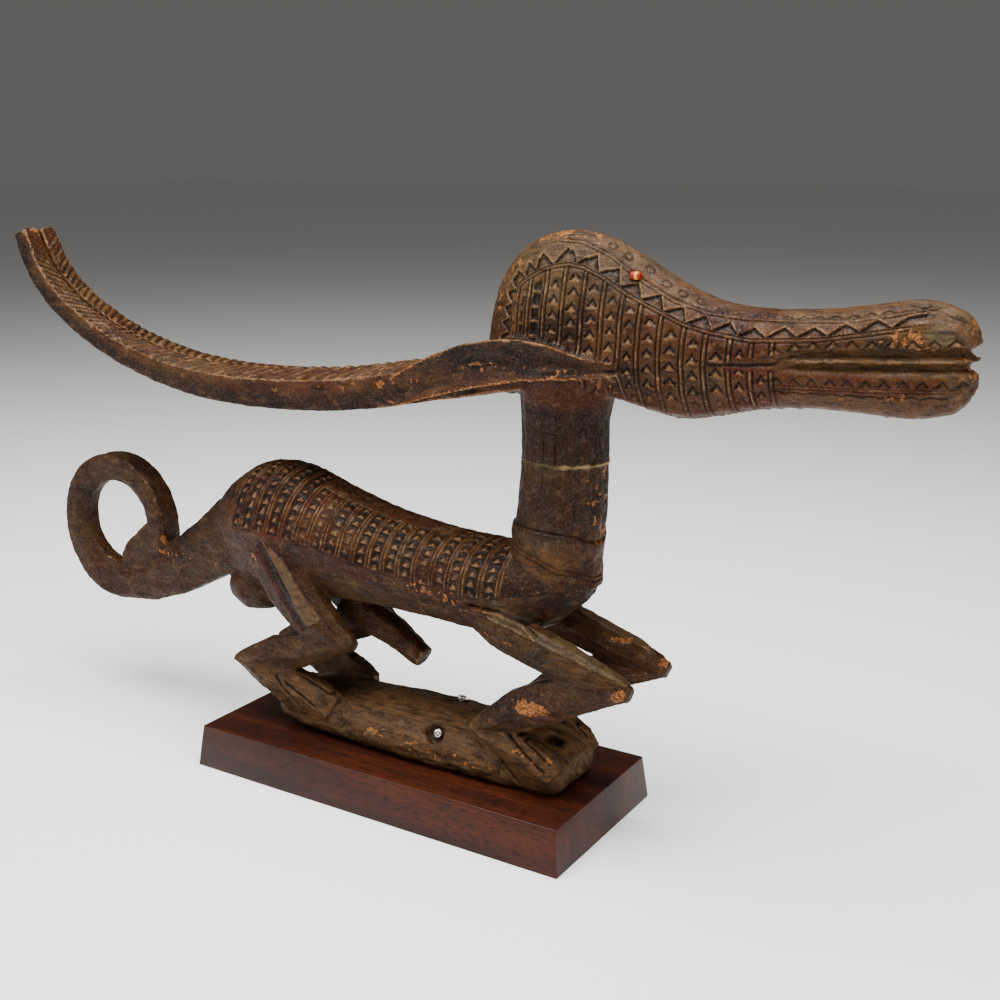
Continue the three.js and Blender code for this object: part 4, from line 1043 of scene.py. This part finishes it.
# %% Patinated hardwood
def patinated_hardwood():
    material, tree, shader, place = fresh_material("patinated carved hardwood")

    def mask(name):
        return node(tree, "Attribute", attribute_name=name).outputs["Fac"]

    broad = noise(tree, place, 38)
    drift = noise(tree, place, 55, stretch=(0.7, 1.2, 1.1), detail=5.0, rough=0.6)
    medium = noise(tree, place, 9, detail=5.0, rough=0.65)
    fine = noise(tree, place, 1.5, detail=5.0, rough=0.7)
    grain_along = noise(tree, place, 1.9, stretch=(0.11, 1, 1), detail=4.0, rough=0.6)
    grain_up = noise(tree, place, 2.2, stretch=(1, 1, 0.09), detail=4.0, rough=0.6)
    grain = node(tree, "Mix", {0: mask("upright"), 2: grain_along, 3: grain_up}).outputs[0]

    spots = noise(tree, place, 5.0, stretch=(0.4, 1, 0.8), detail=3.0, rough=0.6)
    spotted = spread(tree, mask("earthy"), 0.4, 0.6)
    base = ramp(tree, broad, [(0.32, "#1b0e06"), (0.46, "#38200d"), (0.58, "#432c13"), (0.7, "#2b2012")])
    red = maths(tree, "ADD", maths(tree, "MULTIPLY", sharpen(tree, drift, 0.46, 0.6), 0.5), mask("ruddy"))
    faded = maths(tree, "MULTIPLY", sharpen(tree, spots, 0.44, 0.3), spotted)
    uneven = maths(tree, "MULTIPLY", maths(tree, "SUBTRACT", medium, 0.5), 1.7)
    speckle = maths(tree, "MULTIPLY", maths(tree, "SUBTRACT", fine, 0.5), 1.5)
    rub_and_highlight = maths(tree, "ADD", maths(tree, "ADD", mask("worn"), uneven), speckle)
    chipped = maths(tree, "ADD", mask("bare"), speckle)
    chipped = maths(tree, "ADD", chipped, maths(tree, "MULTIPLY", uneven, 0.5))
    raw = ramp(tree, fine, [(0.36, "#341c0c"), (0.5, "#74431f"), (0.66, "#9a6a3a")])
    layers = [
        # where a layer lies over the ones before it, how thick it is there, and its colour
        (red, 0.8, "#3d1506"),
        (sharpen(tree, medium, 0.5, 0.72), 0.6, "#4b3421"),
        (mask("earthy"), 0.8, "#46311d"),
        # painted grey highlight on faces turned up to the light
        (mask("painted_sheen"), 0.75, "#4f4330"),
        # painted shade, near-black, where the head, the horns and the body's edge overhang and inside the
        # ears
        (mask("painted_shade"), 0.8, "#0d0704"),
        (sharpen(tree, spots, 0.5, 0.66), spotted, "#0e0602"),
        (faded, 0.6, "#6b4a2c"),
        (sharpen(tree, grain, 0.52, 0.66), 0.6, "#0e0602"),
        (sharpen(tree, grain, 0.42, 0.28), 0.3, "#5a3a1a"),
        # rubbed wear and painted highlights: tan, then orange brown
        (sharpen(tree, rub_and_highlight, 0.3, 0.9), 0.9, "#6a4e32"),
        (sharpen(tree, rub_and_highlight, 0.95, 1.4), 1.0, "#94704b"),
        # near-black in cuts, grooves and hollows: dark patina and painted shade
        (mask("dark"), 0.85, "#0b0502"),
        (sharpen(tree, chipped, 0.45, 0.85), 0.85, raw),
        (mask("dust"), 0.85, "#84714a"),
    ]
    for share, thickness, over in layers:
        base = blend_colour(tree, maths(tree, "MULTIPLY", share, thickness, clamp=True), base, over)

    # streaks, dents and pits, each bump on the one before it
    bumps = {}
    for height, strength, depth in ((grain, 0.5, 0.6), (spots, 0.6, 1.2), (fine, 0.5, 0.4)):
        inputs = {"Strength": strength, "Distance": depth * MM, "Height": height, **bumps}
        bumps = {"Normal": node(tree, "Bump", inputs).outputs[0]}
    fill(tree, shader, {
        "Base Color": base,
        "Roughness": spread(tree, spots, 0.28, 0.75),
        "Specular IOR Level": spread(tree, fine, 0.06, 0.3, 0.46, 0.66),
        **bumps,
    })
    return material


def give(piece, material):
    piece.data.materials.clear()
    piece.data.materials.append(material)


wood = patinated_hardwood()
give(body, wood)
give(head, wood)

# %% [markdown]
# The plinth is a shop-made block faced with mahogany, its sides slanting in a little to the top, with the
# sharp arris taken off and a clear polish over a dark red-brown stain.

# %% Plinth
PLINTH_TOP = (304.8, 127.0)  # length and width of its upper face
PLINTH_EDGE = 0.9  # how much of the sharp edges is taken off
low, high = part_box("plinth")


def mahogany():
    material, tree, shader, place = fresh_material("polished stained mahogany")
    figure = noise(tree, place, 26, stretch=(0.12, 1, 1), detail=5.0, rough=0.6)
    pores = noise(tree, place, 0.95, stretch=(0.14, 1, 1), detail=2.0)
    base = ramp(tree, figure, [(0.3, "#150603"), (0.5, "#2e1107"), (0.7, "#471e0b")])
    base = blend_colour(tree, maths(tree, "MULTIPLY", sharpen(tree, pores, 0.5, 0.64), 0.7), base, "#0c0302")
    fill(tree, shader, {"Base Color": base, "Roughness": 0.45, "Specular IOR Level": 0.12})
    fill(tree, shader, {"Coat Weight": 0.14, "Coat Roughness": 0.06, "Coat IOR": 1.4})
    return material


def select_faces(piece, way):
    """In edit mode, selects the faces whose normals point one way."""
    bpy.ops.mesh.select_mode(type="FACE")
    bpy.ops.mesh.select_all(action="DESELECT")
    bpy.ops.object.mode_set(mode="OBJECT")
    for face in piece.data.polygons:
        face.select = face.normal.dot(Vector(way)) > 0.99
    bpy.ops.object.mode_set(mode="EDIT")


bpy.ops.object.select_all(action="DESELECT")
bpy.ops.mesh.primitive_cube_add(size=1, location=(0, 0, (low.z + high.z) / 2))
plinth = bpy.context.object
plinth.name = "plinth_block"
plinth.scale = (high.x - low.x, high.y - low.y, high.z - low.z)
bpy.ops.object.transform_apply(location=True, rotation=False, scale=True)
bpy.ops.object.mode_set(mode="EDIT")
select_faces(plinth, (0, 0, 1))
taper = (PLINTH_TOP[0] * MM / (high.x - low.x), PLINTH_TOP[1] * MM / (high.y - low.y), 1)
bpy.ops.transform.resize(value=taper)
bpy.ops.object.mode_set(mode="OBJECT")
apply_modifier(plinth, "BEVEL", width=PLINTH_EDGE * MM, segments=3, limit_method="ANGLE")
bpy.ops.object.shade_smooth_by_angle(angle=math.radians(40))
give(plinth, mahogany())
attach(plinth, "root")
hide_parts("plinth")
print("plinth top", PLINTH_TOP, "mm")

# %% [markdown]
# Two bright screws show: one stands on the log's crown and one lies in the side hole. Each is a round bar
# whose upper rim is bevelled to a dome, with a cross cut into it and a plain shank below.

# %% Screws
SCREW_HEAD = (3.5, 2.8)  # radius and height
SCREW_DOME = 1.7  # how far in from the rim the head is rounded
SHANK = (2.0, 12.0)  # radius and length
CROSS = (4.2, 1.0, 1.5)  # length, width and depth of the recess
OUTWARD = {"top_screw": (0, 0.26, 0.97), "side_screw": (0, -0.93, 0.37)}


def bright_steel():
    """Zinc-plated steel, slightly scuffed: it mirrors the soft boxes in small hard spots."""
    material, tree, shader, place = fresh_material("zinc-plated steel")
    scuffed = spread(tree, noise(tree, place, 0.8, detail=3.0), 0.15, 0.35)
    fill(tree, shader, {"Base Color": colour("#c9c6c0"), "Metallic": 1.0, "Roughness": scuffed})
    return material


def domed_screw(name, seat, outward):
    radius, tall = SCREW_HEAD
    bpy.ops.object.select_all(action="DESELECT")
    middle = (0, 0, tall / 2 * MM)
    bpy.ops.mesh.primitive_cylinder_add(vertices=40, radius=radius * MM, depth=tall * MM, location=middle)
    made = bpy.context.object
    made.name = name
    bpy.ops.object.transform_apply(location=True)
    bpy.ops.object.mode_set(mode="EDIT")
    select_faces(made, (0, 0, 1))
    bpy.ops.mesh.bevel(offset=SCREW_DOME * MM, segments=5, profile=0.55, affect="EDGES")
    select_faces(made, (0, 0, -1))
    bpy.ops.mesh.inset(thickness=(radius - SHANK[0]) * MM)
    bpy.ops.mesh.extrude_region_move(TRANSFORM_OT_translate={"value": (0, 0, -SHANK[1] * MM)})
    bpy.ops.object.mode_set(mode="OBJECT")
    for long_x, long_y in ((CROSS[0], CROSS[1]), (CROSS[1], CROSS[0])):
        bpy.ops.mesh.primitive_cube_add(size=1, location=(0, 0, tall * MM))
        slot = bpy.context.object
        slot.scale = (long_x * MM, long_y * MM, 2 * CROSS[2] * MM)
        bpy.ops.object.transform_apply(location=True, rotation=False, scale=True)
        apply_modifier(made, "BOOLEAN", operation="DIFFERENCE", object=slot)
        bpy.data.objects.remove(slot)
    only(made)
    made.rotation_euler = Vector(outward).to_track_quat("Z", "Y").to_euler()
    made.location = seat
    bpy.ops.object.transform_apply(location=True, rotation=True, scale=False)
    bpy.ops.object.shade_smooth_by_angle(angle=math.radians(35))
    return made


steel = bright_steel()
for name, way in OUTWARD.items():
    outward = Vector(way).normalized()
    crown = max((v.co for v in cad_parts[name].data.vertices), key=outward.dot)
    head_screw = domed_screw(name + "_domed", crown - outward * SCREW_HEAD[1] * MM, outward)
    give(head_screw, steel)
    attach(head_screw, "root")
    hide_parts(name)
    print(name, "crown at", [round(v / MM, 1) for v in crown], "mm")

# %% [markdown]
# The eye is a small barrel bead of opaque glass, set in a drilled seat. Its colours were wound on side by
# side while the glass was soft, so the bands go straight round; the near-black band at one end is painted
# shade, for the dark of its hole.

# %% Bead
BEAD_LENGTH = 6.8
BEAD_RADIUS = 2.45
BEAD_EDGE = 1.0  # how far in from the rim an end is rounded
BEAD_HOLE = (0.8, 1.5)  # radius, and how deep it is sunk from each end
low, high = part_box("bead")
bead_middle = (low + high) / 2
bead_middle.x = low.x + BEAD_LENGTH / 2 * MM


def wound_glass():
    material, tree, shader, place = fresh_material("opaque wound glass")
    along = node(tree, "SeparateXYZ", {"Vector": place}).outputs["X"]
    half = BEAD_LENGTH / 2 * MM
    share = spread(tree, along, 0.0, 1.0, bead_middle.x - half, bead_middle.x + half)
    # The first, near-black stop is painted shade for the dark of the bead's hole at that end; the rest are
    # the glass's wound colours.
    bands = [(0.0, "#1d0402"), (0.2, "#7d0803"), (0.46, "#960b04")]
    bands += [(0.52, "#b99a2e"), (0.72, "#bfa338"), (0.8, "#8e2007")]
    banded = ramp(tree, share, bands)
    fill(tree, shader, {"Base Color": banded, "Roughness": 0.3, "Specular IOR Level": 0.25})
    return material


bpy.ops.object.select_all(action="DESELECT")
bpy.ops.mesh.primitive_cylinder_add(vertices=32, radius=BEAD_RADIUS * MM, depth=BEAD_LENGTH * MM)
bead = bpy.context.object
bead.name = "bead_banded"
bpy.ops.object.mode_set(mode="EDIT")
for way in ((0, 0, 1), (0, 0, -1)):
    select_faces(bead, way)
    bpy.ops.mesh.bevel(offset=BEAD_EDGE * MM, segments=5, affect="EDGES")
    select_faces(bead, way)
    bpy.ops.mesh.inset(thickness=(BEAD_RADIUS - BEAD_EDGE - BEAD_HOLE[0]) * MM)
    bpy.ops.mesh.extrude_region_move(TRANSFORM_OT_translate={"value": (0, 0, -BEAD_HOLE[1] * way[2] * MM)})
bpy.ops.object.mode_set(mode="OBJECT")
bead.rotation_euler = (0, math.radians(90), 0)
bead.location = bead_middle
bpy.ops.object.transform_apply(location=True, rotation=True, scale=False)
bpy.ops.object.shade_smooth_by_angle(angle=math.radians(50))
give(bead, wound_glass())
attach(bead, "root")
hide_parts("bead")
print("bead at", [round(v / MM, 1) for v in bead_middle], "mm")

# %% [markdown]
# Photographs of such pieces are lit by large soft boxes over a pale table, so that dark wood shows its
# edges by long, dull highlights.

# %% Table, lights and camera
bpy.ops.mesh.primitive_plane_add(size=40, location=(0, 0, 0))
table = bpy.context.object
table.name = "table"
paper, tree, shader, _ = fresh_material("matt white paper")
fill(tree, shader, {"Base Color": colour("#fbfbfa"), "Roughness": 1.0, "Specular IOR Level": 0.0})
give(table, paper)

world = bpy.data.worlds.new("soft room")
world.use_nodes = True
background = world.node_tree.nodes["Background"]
fill(world.node_tree, background, {"Color": colour("#cfcdca"), "Strength": 0.19})
bpy.context.scene.world = world


def soft_box(name, at, towards, size, watts):
    """A large square light that points at a place, in metres."""
    bpy.ops.object.light_add(type="AREA", location=at)
    light = bpy.context.object
    light.name = name
    light.data.shape = "RECTANGLE"
    light.data.size, light.data.size_y = size
    light.data.energy = watts
    light.rotation_euler = (Vector(towards) - Vector(at)).to_track_quat("-Z", "Y").to_euler()


soft_box("overhead softbox", (0.1, -0.25, 1.5), (0, 0, 0.2), (1.5, 1.0), 66)
soft_box("left softbox", (-1.1, -1.1, 0.9), (0, 0, 0.2), (0.9, 0.9), 16)
soft_box("right softbox", (1.4, -0.4, 0.7), (0.1, 0, 0.2), (0.7, 0.9), 9)

CAMERA_AT = (0.5213, -0.7221, 0.4456)
CAMERA_WAY = (-0.5115, 0.8215, -0.2521)
FOCAL_PIXELS = 1311.95
SENSOR = 36.0
PICTURE = 1000
bpy.ops.object.camera_add(location=CAMERA_AT)
camera = bpy.context.object
camera.rotation_euler = Vector(CAMERA_WAY).to_track_quat("-Z", "Y").to_euler()
camera.data.sensor_width = SENSOR
camera.data.lens = FOCAL_PIXELS * SENSOR / PICTURE
camera.data.clip_start = 0.02
bpy.context.scene.camera = camera
print("camera lens", round(camera.data.lens, 2), "mm")
